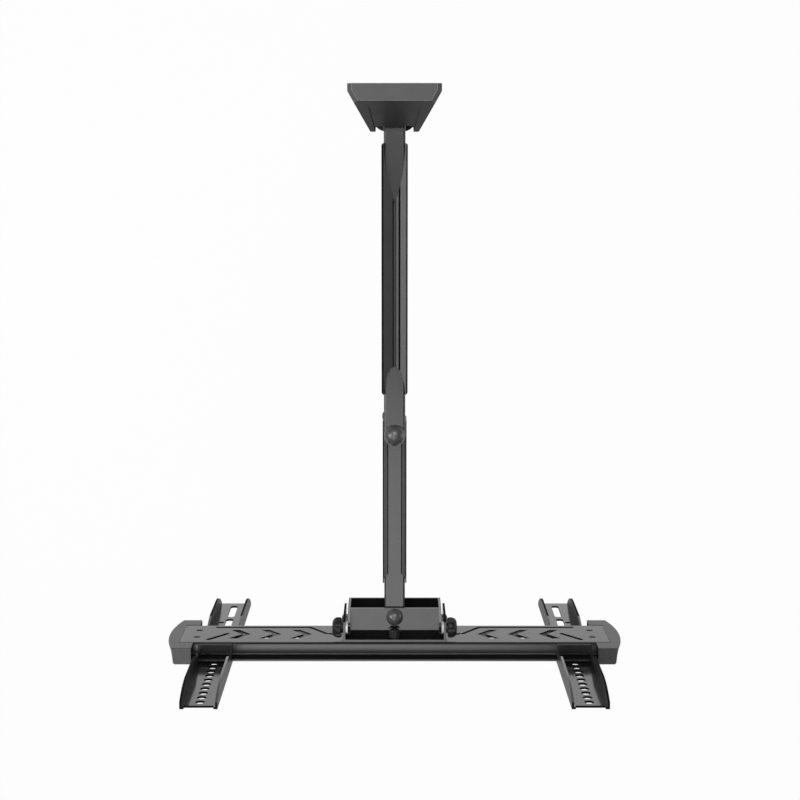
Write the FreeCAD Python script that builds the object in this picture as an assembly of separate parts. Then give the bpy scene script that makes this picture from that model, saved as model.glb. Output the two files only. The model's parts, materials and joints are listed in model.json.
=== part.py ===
import FreeCAD, Part
import math
import os

# Full-motion swivel wall mount for a television, drawn fully extended.
# Millimetres. +X is to the right seen from the television side, +Y points into the wall and
# +Z is up. The origin is the centre of the wall plate's back face.

V = FreeCAD.Vector
X_AXIS = V(1, 0, 0)
Y_AXIS = V(0, 1, 0)
Z_AXIS = V(0, 0, 1)

# Gaps between pieces
SEAT_GAP = 0.3
FACE_GAP = 0.1
RUNNING = 0.05

# Wall plate
PLATE_W = 97.0
PLATE_H = 204.0
PLATE_T = 3.0
PLATE_CORNER_R = 6.0
ANCHOR_SPACING_X = 60.0
ANCHOR_SPACING_Z = 130.0
ANCHOR_SLOT_W = 8.6
ANCHOR_SLOT_L = 18.0
LAG_SPACING_Z = 172.0
LAG_HOLE_R = 5.0

# Pivot bolts, sleeves and washers
PIVOT_Y = -30.0
ARM_1_REACH = 371.0
ARM_2_REACH = 229.0
BOLT_R = 5.0
BOLT_HEX_AF = 16.0
BOLT_HEAD_H = 4.5
BOLT_NUT_H = 8.0
SWIVEL_BOLT_R = 4.0
SWIVEL_HEX_AF = 13.0
SWIVEL_HEAD_H = 3.5
SWIVEL_NUT_H = 6.5
BOLT_END = 1.5
SLEEVE_R = 9.0
SWIVEL_SLEEVE_R = 7.5
WASHER_R = 11.0
WALL_WASHER_T = 2.0
ELBOW_WASHER_T = 3.0
HEAD_WASHER_T = 1.9
NUT_WASHER_T = 1.6

# Welded pivot bracket on the wall plate
EAR_HALF_W = 24.4
EAR_T = 4.0
EAR_UPPER_FRONT = 14.2
EAR_LOWER_FRONT = 19.5
EAR_CORNER_R = 14.0
EAR_BACK_T = 3.0

# Moulded wall cover
COVER_WALL = 2.8
COVER_SIDE_D = 8.5
COVER_FACE_D = 18.8
COVER_BEVEL = 5.0
COVER_TIP_R = 2.5
HOOD_D = 50.0
HOOD_HALF_W = 28.0
HOOD_Z = 27.0
MOUTH_HALF_H = 26.4
MOUTH_Y = -12.5
POCKET_D = 1.2
POCKET_TOP_HALF_W = 29.0
POCKET_BOTTOM_HALF_W = 22.0
POCKET_TOP_Y = -25.5
POCKET_SMILE = 5.0
HOOD_LIP_Y = -44.6
COVER_EDGE_R = 1.2

# Arm tubes
ARM_W = 25.0
ARM_H = 40.0
ARM_WALL = 2.0
ARM_CORNER_R = 2.5

# Cover of the first arm
COVER_1_W = 30.2
COVER_1_START = 33.5
COVER_1_END = 48.5
COVER_1_SKIRT_Z = -16.0
COVER_1_RIM_Z = 24.4
COVER_1_EDGE_Z = 22.4
COVER_1_RIM_W = 2.3
COVER_1_FLOOR_Z = 21.6
COVER_1_RIDGE_Z = 23.4
COVER_1_VALLEY_LEFT = -2.5
COVER_1_VALLEY_RIGHT = 6.6
COVER_1_RIDGE_W = 0.9
COVER_1_RIDGE_SLOPE_W = 2.0
COVER_1_CORNER_R = 3.0
CUT_HALF_W = 12.0
OGIVE_L = 68.5
ARCH_L = 32.5
SIDE_SCREW_BACK = 20.0
SIDE_SCREW_HEAD_R = 4.6
SIDE_SCREW_HEAD_H = 2.3
SIDE_SCREW_R = 2.4
SIDE_SCREW_L = 7.0

# Sleeve cover of the second arm
COVER_2_W = 28.6
COVER_2_LIP_GAP = 0.2
COVER_2_LIP_INNER = 7.8
COVER_2_START = -10.5
COVER_2_END = 41.4
COVER_2_LIP_END = 11.6
COVER_2_LIP_CHAMFER = 5.0
COVER_2_WASHER_ROOM = 1.0
COVER_2_CAP_ROOM = 1.0

# Dome caps
ELBOW_CAP_R = 12.35
ELBOW_CAP_H = 10.5
ELBOW_CAP_SKIRT = 2.0
SWIVEL_CAP_R = 10.0
SWIVEL_CAP_H = 8.5
SWIVEL_CAP_SKIRT = 1.5
CAP_WALL = 1.2

# Swivel bracket
HEAD_HALF_W = 56.5
HEAD_T = 3.0
HEAD_FRONT = 11.0
HEAD_BACK = 16.0
LUG_R = 9.0
NOTCH_HALF_W = 7.2
NOTCH_FRONT = 10.6
NOTCH_CORNER_R = 4.0
NOTCH_Z = 16.5

# Tilt bracket
TILT_BACK = 12.0
TILT_PIVOT_Z = -4.0
TILT_STUD_RISE = 32.0
TILT_HALF_H = 36.0
TILT_T = 2.7
TILT_EAR_INNER = 59.4
TILT_EAR_FRONT = 14.3
TILT_PLATE_BACK = 15.8
TILT_CORNER_R = 6.0
TILT_SLOT_W = 6.6
TILT_DOWN_DEG = 15.0
TILT_UP_DEG = 5.0
TILT_SLOT_SPARE_DEG = 1.0
TILT_SPACER_R = 7.5
TILT_PIVOT_R = 4.0
TILT_PIVOT_HEAD_R = 7.0
TILT_PIVOT_HEAD_H = 3.2
TILT_PIVOT_NUT_AF = 12.0
TILT_PIVOT_NUT_H = 5.0
TILT_PIVOT_NUT_ROOM = 1.0

# Tilt knobs
KNOB_R = 12.4
KNOB_L = 13.0
KNOB_LOBES = 7
KNOB_SCALLOP_R = 3.4
KNOB_SCALLOP_DEPTH = 2.0
KNOB_EDGE = 1.4
KNOB_CROWN_R = 7.0
KNOB_HUB_R = 6.5
KNOB_HUB_L = 2.0
STUD_R = 3.0

# Level pivot and level knob
LEVEL_PIVOT_R = 4.0
LEVEL_PIVOT_HEAD_R = 7.0
LEVEL_PIVOT_HEAD_H = 3.5
LEVEL_PIVOT_NUT_AF = 13.0
LEVEL_PIVOT_NUT_H = 6.0
LEVEL_KNOB_Z = 27.0
LEVEL_KNOB_R = 6.4
LEVEL_KNOB_L = 11.0
LEVEL_KNOB_LOBES = 6
LEVEL_SCALLOP_R = 1.8
LEVEL_SCALLOP_DEPTH = 0.9
LEVEL_CROWN_R = 2.6
LEVEL_STUD_R = 2.5
LEVEL_NUT_AF = 8.0
LEVEL_NUT_H = 4.0
LEVEL_DEG = 5.0
LEVEL_SLOT_SPARE_DEG = 1.0
LEVEL_SLOT_W = 5.6

# Rail: a folded top-hat section with raised lips
RAIL_HALF_L = 259.5
RAIL_T = 2.0
RAIL_HALF_H = 38.0
RAIL_LIP_H = 59.5
RAIL_DEPTH = 16.8
RAIL_BEND_R = 3.0
RAIL_BEND_INNER_R = 1.0

# Cut-outs in the rail's face, on the right half and mirrored
CHEVRON_TIPS = 3
CHEVRON_FIRST_X = 101.3
CHEVRON_PITCH = 37.5
CHEVRON_RUN = 15.5
CHEVRON_HALF_H = 18.5
CHEVRON_STROKE = 10.5
CHEVRON_Z = 2.0
LINE_SLOT_W = 5.4
LINE_SLOT_Z = -27.5
LINE_SLOT_INNER_X = 105.0
LINE_SLOT_END_IN = 39.5
LINE_SLOT_TIP_X = 84.0
INNER_SLOT_X = 79.0
INNER_SLOT_RUN = 11.0
INNER_SLOT_DROP = 9.0
OUTER_SLOT_END_IN = 54.5
OUTER_SLOT_RUN = 21.0
OUTER_SLOT_DROP = 25.0
END_SLOT_IN = 18.6
END_SLOT_L = 8.5
END_SLOT_W = 5.2
END_SLOT_Z = 14.5

# Moulded end caps of the rail
CAP_OVERLAP = 16.5
CAP_EDGE_OUT = 6.8
CAP_FRONT_BULGE = 10.2
CAP_BACK_IN = 2.0
CAP_BACK_BULGE = 1.0
CAP_BACK_BEVEL = 1.6
CAP_BACK_PROUD = 3.3
CAP_SHELL = 2.2
CAP_PLUG_WALL = 2.0
CAP_TOP_H = 61.5

# Television brackets
BRACKET_END_IN = 43.5
BRACKET_HALF_W = 21.0
BRACKET_T = 2.5
BRACKET_TOP = 217.0
BRACKET_BOTTOM = -217.0
BRACKET_TOP_NOTCH = 5.0
BRACKET_NOTCH_HALF_W = 16.5
FLANGE_TOP_DEPTH = 5.4
FLANGE_LOW_DEPTH = 1.6
FLANGE_DEPTH = 18.4
FLANGE_CURVE_L = 56.0
FLANGE_FULL_Z = 88.0
BRACKET_GAP = 3.7
BRACKET_THROAT_DEPTH = 3.4
HOOK_DEPTH = 12.0
HOOK_DROP = 5.0
HOOK_RISE = 9.0
HOOK_LEG_W = 4.0
HOLE_COUNT = 10
HOLE_R = 5.4
HOLE_TOP_Z = 200.0
HOLE_PITCH = 16.0
LONG_SLOT_L = 55.0
LONG_SLOT_W = 9.2
LONG_SLOT_Z = (-176.5, -111.5)
SMALL_HOLE_R = 3.6
SMALL_HOLE_OUT = 9.4
SMALL_HOLE_Z = -122.0

# Plastic guides that run on the rail's lips
GUIDE_FRONT = 1.4
GUIDE_BACK = 12.3
GUIDE_H = 4.0
GUIDE_EDGE_R = 0.8
CLIP_SIDE_GAP = 0.3
CLIP_T = 4.6

# Levels and places worked out from the sizes above
ELBOW_Y = PIVOT_Y - ARM_1_REACH
SWIVEL_Y = ELBOW_Y - ARM_2_REACH
EAR_Z = ARM_H / 2 + FACE_GAP + WALL_WASHER_T
ARM_2_Z = -(ARM_H + ELBOW_WASHER_T + FACE_GAP)
HEAD_INNER_Z = ARM_H / 2 + HEAD_WASHER_T + FACE_GAP
HEAD_OUTER_Z = HEAD_INNER_Z + HEAD_T
TILT_Y = SWIVEL_Y - TILT_BACK
TILT_Z = ARM_2_Z + TILT_PIVOT_Z
STUD_Z = TILT_Z + TILT_STUD_RISE
TILT_PLATE_Y = TILT_Y - TILT_PLATE_BACK
TILT_EAR_OUTER = TILT_EAR_INNER + TILT_T
RAIL_Y = TILT_PLATE_Y - FACE_GAP
LIP_Y = RAIL_Y - RAIL_DEPTH
BRACKET_Y = LIP_Y - BRACKET_GAP
LINE_SLOT_OUTER_X = RAIL_HALF_L - LINE_SLOT_END_IN
OUTER_SLOT_X = RAIL_HALF_L - OUTER_SLOT_END_IN
END_SLOT_X = RAIL_HALF_L - END_SLOT_IN
CAP_BACK_Y = LIP_Y - CAP_BACK_PROUD
CAP_INNER_X = RAIL_HALF_L - CAP_OVERLAP
CAP_EDGE_X = RAIL_HALF_L + CAP_EDGE_OUT
BRACKET_X = RAIL_HALF_L - BRACKET_END_IN
COVER_HALF_W = PLATE_W / 2 + SEAT_GAP + COVER_WALL
COVER_HALF_H = PLATE_H / 2 + SEAT_GAP + COVER_WALL


def box(x0, x1, y0, y1, z0, z1):
    """A block between two corners."""
    corner = V(min(x0, x1), min(y0, y1), min(z0, z1))
    return Part.makeBox(abs(x1 - x0), abs(y1 - y0), abs(z1 - z0), corner)


def rod(at, axis, length, radius):
    """A round rod from a point along an axis."""
    return Part.makeCylinder(radius, length, at, axis)


def ring(at, axis, length, outer, inner):
    """A round washer or sleeve from a point along an axis."""
    return rod(at, axis, length, outer).cut(rod(at, axis, length, inner))


def prism(points, along):
    """A closed polygon of points, drawn out along a vector."""
    wire = Part.makePolygon(points + [points[0]])
    return Part.Face(wire).extrude(along)


def prism_x(points, x0, x1):
    """A polygon of (y, z) points between two places along X."""
    return prism([V(x0, y, z) for y, z in points], V(x1 - x0, 0, 0))


def prism_y(points, y0, y1):
    """A polygon of (x, z) points between two places along Y."""
    return prism([V(x, y0, z) for x, z in points], V(0, y1 - y0, 0))


def prism_z(points, z0, z1):
    """A polygon of (x, y) points between two places along Z."""
    return prism([V(x, y, z0) for x, y in points], V(0, 0, z1 - z0))


def hex_prism(at, axis, length, across_flats):
    """A hexagon head or nut from a point along an axis."""
    side = X_AXIS if abs(axis.x) < 0.5 else Y_AXIS
    other = axis.cross(side)
    corner_r = across_flats / math.sqrt(3)
    points = []
    for i in range(6):
        turn = math.radians(60 * i)
        points.append(at + side * (corner_r * math.cos(turn)) + other * (corner_r * math.sin(turn)))
    return prism(points, axis * length)


def line_slot(x0, z0, x1, z1, width, y0, y1):
    """A slot with round ends through a wall that faces Y, between two (x, z) points."""
    run = math.hypot(x1 - x0, z1 - z0)
    side_x = -(z1 - z0) / run * width / 2
    side_z = (x1 - x0) / run * width / 2
    corners = [
        (x0 + side_x, z0 + side_z),
        (x1 + side_x, z1 + side_z),
        (x1 - side_x, z1 - side_z),
        (x0 - side_x, z0 - side_z),
    ]
    low = min(y0, y1)
    ends = [rod(V(x, low, z), Y_AXIS, abs(y1 - y0), width / 2) for x, z in ((x0, z0), (x1, z1))]
    return prism_y(corners, y0, y1).fuse(ends).removeSplitter()


def arc_slot(centre, axis, radius, width, start, turn, depth):
    """A curved slot about an axis: start is the first end's direction, turn is in degrees."""
    band = ring(centre, axis, depth, radius + width / 2, radius - width / 2)
    far = 4 * radius
    steps = [start]
    for share in (0.5, 1.0):
        spin = FreeCAD.Rotation(axis, turn * share)
        steps.append(spin.multVec(start))
    wedge = prism([centre] + [centre + way * far for way in steps], axis * depth)
    slot = band.common(wedge)
    for way in (steps[0], steps[2]):
        slot = slot.fuse(rod(centre + way * radius, axis, depth, width / 2))
    return slot.removeSplitter()


def mirrored(shape):
    """The same shape on the other side of the middle."""
    return shape.mirror(V(0, 0, 0), X_AXIS)


def filleted(shape, radius, chosen):
    """Rounds the edges that a test picks out."""
    edges = [edge for edge in shape.Edges if chosen(edge)]
    return shape.makeFillet(radius, edges)


def runs_along(edge, axis):
    """Is an edge a straight line along an axis?"""
    if not isinstance(edge.Curve, Part.Line):
        return False
    return abs(edge.tangentAt(edge.FirstParameter).dot(axis)) > 0.999


def dome(radius, skirt, height):
    """A solid dome that stands on z = 0 about the Z axis."""
    rise = height - skirt
    sphere_r = (radius * radius + rise * rise) / (2 * rise)
    centre_z = height - sphere_r
    half_turn = math.atan2(radius, skirt - centre_z) / 2
    middle = V(sphere_r * math.sin(half_turn), 0, centre_z + sphere_r * math.cos(half_turn))
    foot = V(0, 0, 0)
    edge = V(radius, 0, 0)
    shoulder = V(radius, 0, skirt)
    top = V(0, 0, height)
    wire = Part.Wire(
        [
            Part.makeLine(foot, edge),
            Part.makeLine(edge, shoulder),
            Part.Arc(shoulder, middle, top).toShape(),
            Part.makeLine(top, foot),
        ]
    )
    return Part.Face(wire).revolve(foot, Z_AXIS, 360)


def dome_cap(at, radius, skirt, height, upwards=True):
    """A hollow snap-on cap over a bolt head or nut."""
    cap = dome(radius, skirt, height).cut(dome(radius - CAP_WALL, skirt, height - CAP_WALL))
    if not upwards:
        cap = cap.mirror(V(0, 0, 0), Z_AXIS)
    return cap.translated(at)


def lobed(at, axis, length, radius, lobes, scallop_r, scallop_depth, edge, crown):
    """A round grip with scallops cut round its rim, a bevelled near end and a domed far end."""
    grip = rod(V(0, 0, 0), Z_AXIS, length, radius)
    grip = grip.makeChamfer(edge, [e for e in grip.Edges if e.Closed and e.CenterOfMass.z < 0.1])
    grip = grip.makeFillet(
        crown, [e for e in grip.Edges if e.Closed and e.CenterOfMass.z > length - 0.1]
    )
    out = radius + scallop_r - scallop_depth
    for i in range(lobes):
        turn = 2 * math.pi * (i + 0.5) / lobes
        place = V(out * math.cos(turn), out * math.sin(turn), 0)
        grip = grip.cut(rod(place, Z_AXIS, length, scallop_r))
    grip.Placement = FreeCAD.Placement(at, FreeCAD.Rotation(Z_AXIS, axis))
    return grip


def export(name, shape):
    """Writes one piece, or one group of like pieces, as a file of its own."""
    shape.exportStep("parts/" + name + ".step")


def hex_bolt(head_at, down, shank_r, across_flats, head_h):
    """A bolt whose head stands on a point, with its shank going down from there."""
    head = hex_prism(head_at, Z_AXIS, head_h, across_flats)
    return head.fuse(rod(head_at - Z_AXIS * down, Z_AXIS, down, shank_r)).removeSplitter()


def hex_nut(at, axis, height, across_flats, bolt_r):
    """A nut from a point along an axis, round a bolt."""
    hole = rod(at, axis, height, bolt_r + RUNNING)
    return hex_prism(at, axis, height, across_flats).cut(hole)


# Wall side


def wall_plate():
    """Steel plate with level slots for anchors and round holes for lag screws."""
    plate = box(-PLATE_W / 2, PLATE_W / 2, -PLATE_T, 0, -PLATE_H / 2, PLATE_H / 2)
    plate = filleted(plate, PLATE_CORNER_R, lambda e: runs_along(e, Y_AXIS))
    reach = (ANCHOR_SLOT_L - ANCHOR_SLOT_W) / 2
    for x in (-ANCHOR_SPACING_X / 2, ANCHOR_SPACING_X / 2):
        for z in (-ANCHOR_SPACING_Z / 2, ANCHOR_SPACING_Z / 2):
            plate = plate.cut(line_slot(x - reach, z, x + reach, z, ANCHOR_SLOT_W, -PLATE_T, 0))
    for z in (-LAG_SPACING_Z / 2, LAG_SPACING_Z / 2):
        plate = plate.cut(rod(V(0, -PLATE_T, z), Y_AXIS, PLATE_T, LAG_HOLE_R))
    return plate


def wall_pivot_bracket():
    """Folded steel channel whose two ears carry the first arm."""
    upper_front = PIVOT_Y - EAR_UPPER_FRONT
    lower_front = PIVOT_Y - EAR_LOWER_FRONT
    outer = EAR_Z + EAR_T
    channel = box(-EAR_HALF_W, EAR_HALF_W, lower_front, -PLATE_T, -outer, outer)
    channel = channel.cut(
        box(-EAR_HALF_W, EAR_HALF_W, lower_front, -PLATE_T - EAR_BACK_T, -EAR_Z, EAR_Z)
    )
    channel = channel.cut(box(-EAR_HALF_W, EAR_HALF_W, lower_front, upper_front, EAR_Z, outer))
    corners = [
        e for e in channel.Edges if runs_along(e, Z_AXIS) and e.CenterOfMass.y < upper_front + 0.1
    ]
    channel = channel.makeFillet(EAR_CORNER_R, corners)
    bends = [
        e
        for e in channel.Edges
        if runs_along(e, X_AXIS)
        and e.CenterOfMass.y > -PLATE_T - 0.1
        and abs(e.CenterOfMass.z) > EAR_Z
    ]
    channel = channel.makeFillet(EAR_T - 1.0, bends)
    hole = rod(V(0, PIVOT_Y, -outer), Z_AXIS, 2 * outer, BOLT_R + RUNNING)
    return channel.cut(hole)


def cover_hull(inset):
    """The wall cover's outer form: a plan outline crossed with a side outline."""
    plan = [
        (-COVER_HALF_W, 0),
        (-COVER_HALF_W, -COVER_SIDE_D),
        (-HOOD_HALF_W, -HOOD_D),
        (HOOD_HALF_W, -HOOD_D),
        (COVER_HALF_W, -COVER_SIDE_D),
        (COVER_HALF_W, 0),
    ]
    side = [
        (0, COVER_HALF_H),
        (-COVER_FACE_D, COVER_HALF_H),
        (-HOOD_D, HOOD_Z),
        (-HOOD_D, -HOOD_Z),
        (-COVER_FACE_D, -COVER_HALF_H),
        (0, -COVER_HALF_H),
    ]
    high = 2 * COVER_HALF_H
    plan_wire = Part.makePolygon([V(x, y, -high) for x, y in plan + [plan[0]]])
    side_wire = Part.makePolygon([V(-high, y, z) for y, z in side + [side[0]]])
    if inset:
        plan_wire = plan_wire.makeOffset2D(-inset, 2)
        side_wire = side_wire.makeOffset2D(-inset, 2)
    across = Part.Face(plan_wire).extrude(V(0, 0, 2 * high))
    along = Part.Face(side_wire).extrude(V(2 * high, 0, 0))
    hull = across.common(along)
    top = COVER_HALF_H - inset
    bevel = COVER_BEVEL - inset * (2 - math.sqrt(2))
    rims = [
        e
        for e in hull.Edges
        if abs(abs(e.CenterOfMass.z) - top) < 0.01 and not runs_along(e, X_AXIS)
    ]
    return hull.makeChamfer(bevel, rims)


def pocket_outline(z0, z1):
    """Plan outline of the shallow pocket in the hood: a smile on top, tapering sides."""
    left = V(-POCKET_TOP_HALF_W, POCKET_TOP_Y, z0)
    right = V(POCKET_TOP_HALF_W, POCKET_TOP_Y, z0)
    smile = V(0, POCKET_TOP_Y - POCKET_SMILE, z0)
    low_right = V(POCKET_BOTTOM_HALF_W, -HOOD_D - 1, z0)
    low_left = V(-POCKET_BOTTOM_HALF_W, -HOOD_D - 1, z0)
    wire = Part.Wire(
        [
            Part.Arc(left, smile, right).toShape(),
            Part.makeLine(right, low_right),
            Part.makeLine(low_right, low_left),
            Part.makeLine(low_left, left),
        ]
    )
    return Part.Face(wire).extrude(V(0, 0, z1 - z0))


def wall_cover():
    """Moulded cover over the plate, with hoods above and below the arm's swing."""
    hull = cover_hull(0)
    tips = [
        e for e in hull.Edges if runs_along(e, Z_AXIS) and abs(e.CenterOfMass.x) > COVER_HALF_W - 0.1
    ]
    tips = [e for e in tips if e.CenterOfMass.y < -0.5]
    hull = hull.makeFillet(COVER_TIP_R, tips)
    inside = cover_hull(COVER_WALL)
    back = inside.translated(V(0, COVER_WALL + 1, 0))
    skin = hull.cut(cover_hull(POCKET_D))
    for z0, z1 in ((HOOD_Z, COVER_HALF_H), (-COVER_HALF_H, -HOOD_Z)):
        hull = hull.cut(skin.common(pocket_outline(z0, z1)))
    shell = hull.cut(inside).cut(back)
    wide = 2 * COVER_HALF_W
    shell = shell.cut(box(-wide, wide, -2 * HOOD_D, MOUTH_Y, -MOUTH_HALF_H, MOUTH_HALF_H))
    lip = box(
        -POCKET_BOTTOM_HALF_W,
        POCKET_BOTTOM_HALF_W,
        -2 * HOOD_D,
        HOOD_LIP_Y,
        -COVER_HALF_H,
        COVER_HALF_H,
    )
    return shell.cut(lip)


def wall_pivot_set():
    """Bolt, nut and washers of the wall pivot."""
    outer = EAR_Z + EAR_T
    top = V(0, PIVOT_Y, outer)
    down = 2 * outer + NUT_WASHER_T + BOLT_NUT_H + BOLT_END
    export("wall_pivot_bolt", hex_bolt(top, down, BOLT_R, BOLT_HEX_AF, BOLT_HEAD_H))
    washers = [
        ring(V(0, PIVOT_Y, EAR_Z - WALL_WASHER_T), Z_AXIS, WALL_WASHER_T, WASHER_R, BOLT_R + RUNNING),
        ring(V(0, PIVOT_Y, -EAR_Z), Z_AXIS, WALL_WASHER_T, WASHER_R, BOLT_R + RUNNING),
    ]
    export("wall_pivot_washers", Part.makeCompound(washers))
    under = V(0, PIVOT_Y, -outer - NUT_WASHER_T)
    flat = ring(under, Z_AXIS, NUT_WASHER_T, WASHER_R - 1, BOLT_R + RUNNING)
    export("wall_pivot_nut_washer", flat)
    export("wall_pivot_nut", hex_nut(under, -Z_AXIS, BOLT_NUT_H, BOLT_HEX_AF, BOLT_R))


# Arms


def arm_tube(start_y, end_y, z, start_sleeve_r, end_sleeve_r):
    """Box tube with rounded ends about its two pivots and holes for their sleeves."""
    half_w = ARM_W / 2
    half_h = ARM_H / 2
    low = end_y - half_w
    high = start_y + half_w
    tube = box(-half_w, half_w, low, high, z - half_h, z + half_h)
    tube = filleted(tube, ARM_CORNER_R, lambda e: runs_along(e, Y_AXIS))
    room = box(
        -half_w + ARM_WALL,
        half_w - ARM_WALL,
        low,
        high,
        z - half_h + ARM_WALL,
        z + half_h - ARM_WALL,
    )
    outline = box(-half_w, half_w, end_y, start_y, z - half_h, z + half_h)
    for y in (start_y, end_y):
        outline = outline.fuse(rod(V(0, y, z - half_h), Z_AXIS, ARM_H, half_w))
    tube = tube.cut(room).common(outline)
    for y, sleeve_r in ((start_y, start_sleeve_r), (end_y, end_sleeve_r)):
        tube = tube.cut(rod(V(0, y, z - half_h), Z_AXIS, ARM_H, sleeve_r + RUNNING))
    return tube


def pivot_sleeve(y, z, outer, bolt_r):
    """Steel sleeve that stands in a tube end, for a bolt to turn in."""
    return ring(V(0, y, z - ARM_H / 2), Z_AXIS, ARM_H, outer, bolt_r + RUNNING)


def cover_1_top():
    """Section of the first arm's cover from rim to rim: a valley with a double ridge."""
    half = COVER_1_W / 2
    rim = half - COVER_1_RIM_W
    left = COVER_1_VALLEY_LEFT
    right = COVER_1_VALLEY_RIGHT
    peak = COVER_1_RIDGE_SLOPE_W
    dip_x = (left + right) / 2
    dip_z = (COVER_1_FLOOR_Z + COVER_1_RIDGE_Z) / 2
    return [
        (-half, COVER_1_EDGE_Z),
        (-rim - 0.8, COVER_1_RIM_Z),
        (-rim, COVER_1_RIM_Z),
        (left, COVER_1_FLOOR_Z),
        (left + peak, COVER_1_RIDGE_Z),
        (left + peak + COVER_1_RIDGE_W, COVER_1_RIDGE_Z),
        (dip_x, dip_z),
        (right - peak - COVER_1_RIDGE_W, COVER_1_RIDGE_Z),
        (right - peak, COVER_1_RIDGE_Z),
        (right, COVER_1_FLOOR_Z),
        (rim, COVER_1_RIM_Z),
        (rim + 0.8, COVER_1_RIM_Z),
        (half, COVER_1_EDGE_Z),
    ]


def arm_1_cover():
    """Moulded cover over the first arm, cut to a pointed arch at the wall end."""
    start = PIVOT_Y - COVER_1_START
    end = ELBOW_Y + COVER_1_END
    half = COVER_1_W / 2
    outline = cover_1_top() + [(half, COVER_1_SKIRT_Z), (-half, COVER_1_SKIRT_Z)]
    cover = prism_y(outline, end, start)
    plan = box(-half, half, end, start, COVER_1_SKIRT_Z, COVER_1_RIM_Z)
    plan = filleted(plan, COVER_1_CORNER_R, lambda e: runs_along(e, Z_AXIS))
    cover = cover.common(plan)
    inner = ARM_W / 2 + SEAT_GAP
    room_top = ARM_H / 2 + SEAT_GAP
    cover = cover.cut(box(-inner, inner, end, start, COVER_1_SKIRT_Z, room_top))
    arc_r = (CUT_HALF_W ** 2 + OGIVE_L ** 2) / (2 * CUT_HALF_W)
    above = COVER_1_RIM_Z - COVER_1_SKIRT_Z
    low = V(0, 0, 0)
    ogive = rod(V(CUT_HALF_W - arc_r, start, low.z), Z_AXIS, above, arc_r)
    ogive = ogive.common(rod(V(arc_r - CUT_HALF_W, start, low.z), Z_AXIS, above, arc_r))
    arch = Part.Ellipse(V(0, end + ARCH_L, 0), V(CUT_HALF_W, end, 0), V(0, end, 0))
    arch = Part.Face(Part.Wire([arch.toShape()])).extrude(V(0, 0, above))
    return cover.cut(ogive).cut(arch)


def side_screw():
    """Round-headed screw in the first arm's left side."""
    y = ELBOW_Y + SIDE_SCREW_BACK
    half = ARM_W / 2
    head = dome(SIDE_SCREW_HEAD_R, SIDE_SCREW_HEAD_H / 3, SIDE_SCREW_HEAD_H)
    socket = hex_prism(V(0, 0, SIDE_SCREW_HEAD_H / 3), Z_AXIS, SIDE_SCREW_HEAD_H, SIDE_SCREW_R * 1.3)
    head = head.cut(socket)
    head.Placement = FreeCAD.Placement(V(-half, y, 0), FreeCAD.Rotation(Z_AXIS, -X_AXIS))
    return head.fuse(rod(V(-half, y, 0), X_AXIS, SIDE_SCREW_L, SIDE_SCREW_R)).removeSplitter()


def arm_1_pieces():
    """The first arm with what turns with it."""
    tube = arm_tube(PIVOT_Y, ELBOW_Y, 0, SLEEVE_R, SLEEVE_R)
    screw_hole = rod(
        V(-ARM_W / 2, ELBOW_Y + SIDE_SCREW_BACK, 0), X_AXIS, ARM_WALL, SIDE_SCREW_R + RUNNING
    )
    export("arm_1_tube", tube.cut(screw_hole))
    export("arm_1_wall_sleeve", pivot_sleeve(PIVOT_Y, 0, SLEEVE_R, BOLT_R))
    export("arm_1_elbow_sleeve", pivot_sleeve(ELBOW_Y, 0, SLEEVE_R, BOLT_R))
    export("arm_1_cover", arm_1_cover())
    export("arm_1_side_screw", side_screw())
    top = V(0, ELBOW_Y, ARM_H / 2)
    bottom_z = ARM_2_Z - ARM_H / 2 - FACE_GAP - NUT_WASHER_T
    down = top.z - bottom_z + BOLT_NUT_H + BOLT_END
    export("elbow_bolt", hex_bolt(top, down, BOLT_R, BOLT_HEX_AF, BOLT_HEAD_H))
    export("elbow_cap", dome_cap(top, ELBOW_CAP_R, ELBOW_CAP_SKIRT, ELBOW_CAP_H))
    under = V(0, ELBOW_Y, bottom_z)
    flat = ring(under, Z_AXIS, NUT_WASHER_T, WASHER_R - 1, BOLT_R + RUNNING)
    export("elbow_nut_washer", flat)
    export("elbow_nut", hex_nut(under, -Z_AXIS, BOLT_NUT_H, BOLT_HEX_AF, BOLT_R))
    foot = V(0, ELBOW_Y, ARM_2_Z - ARM_H / 2 - FACE_GAP)
    skirt = NUT_WASHER_T + BOLT_NUT_H
    height = skirt + BOLT_END + ELBOW_CAP_SKIRT + CAP_WALL
    cap = dome_cap(foot, ELBOW_CAP_R, skirt, height, upwards=False)
    export("elbow_lower_cap", cap)


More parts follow.
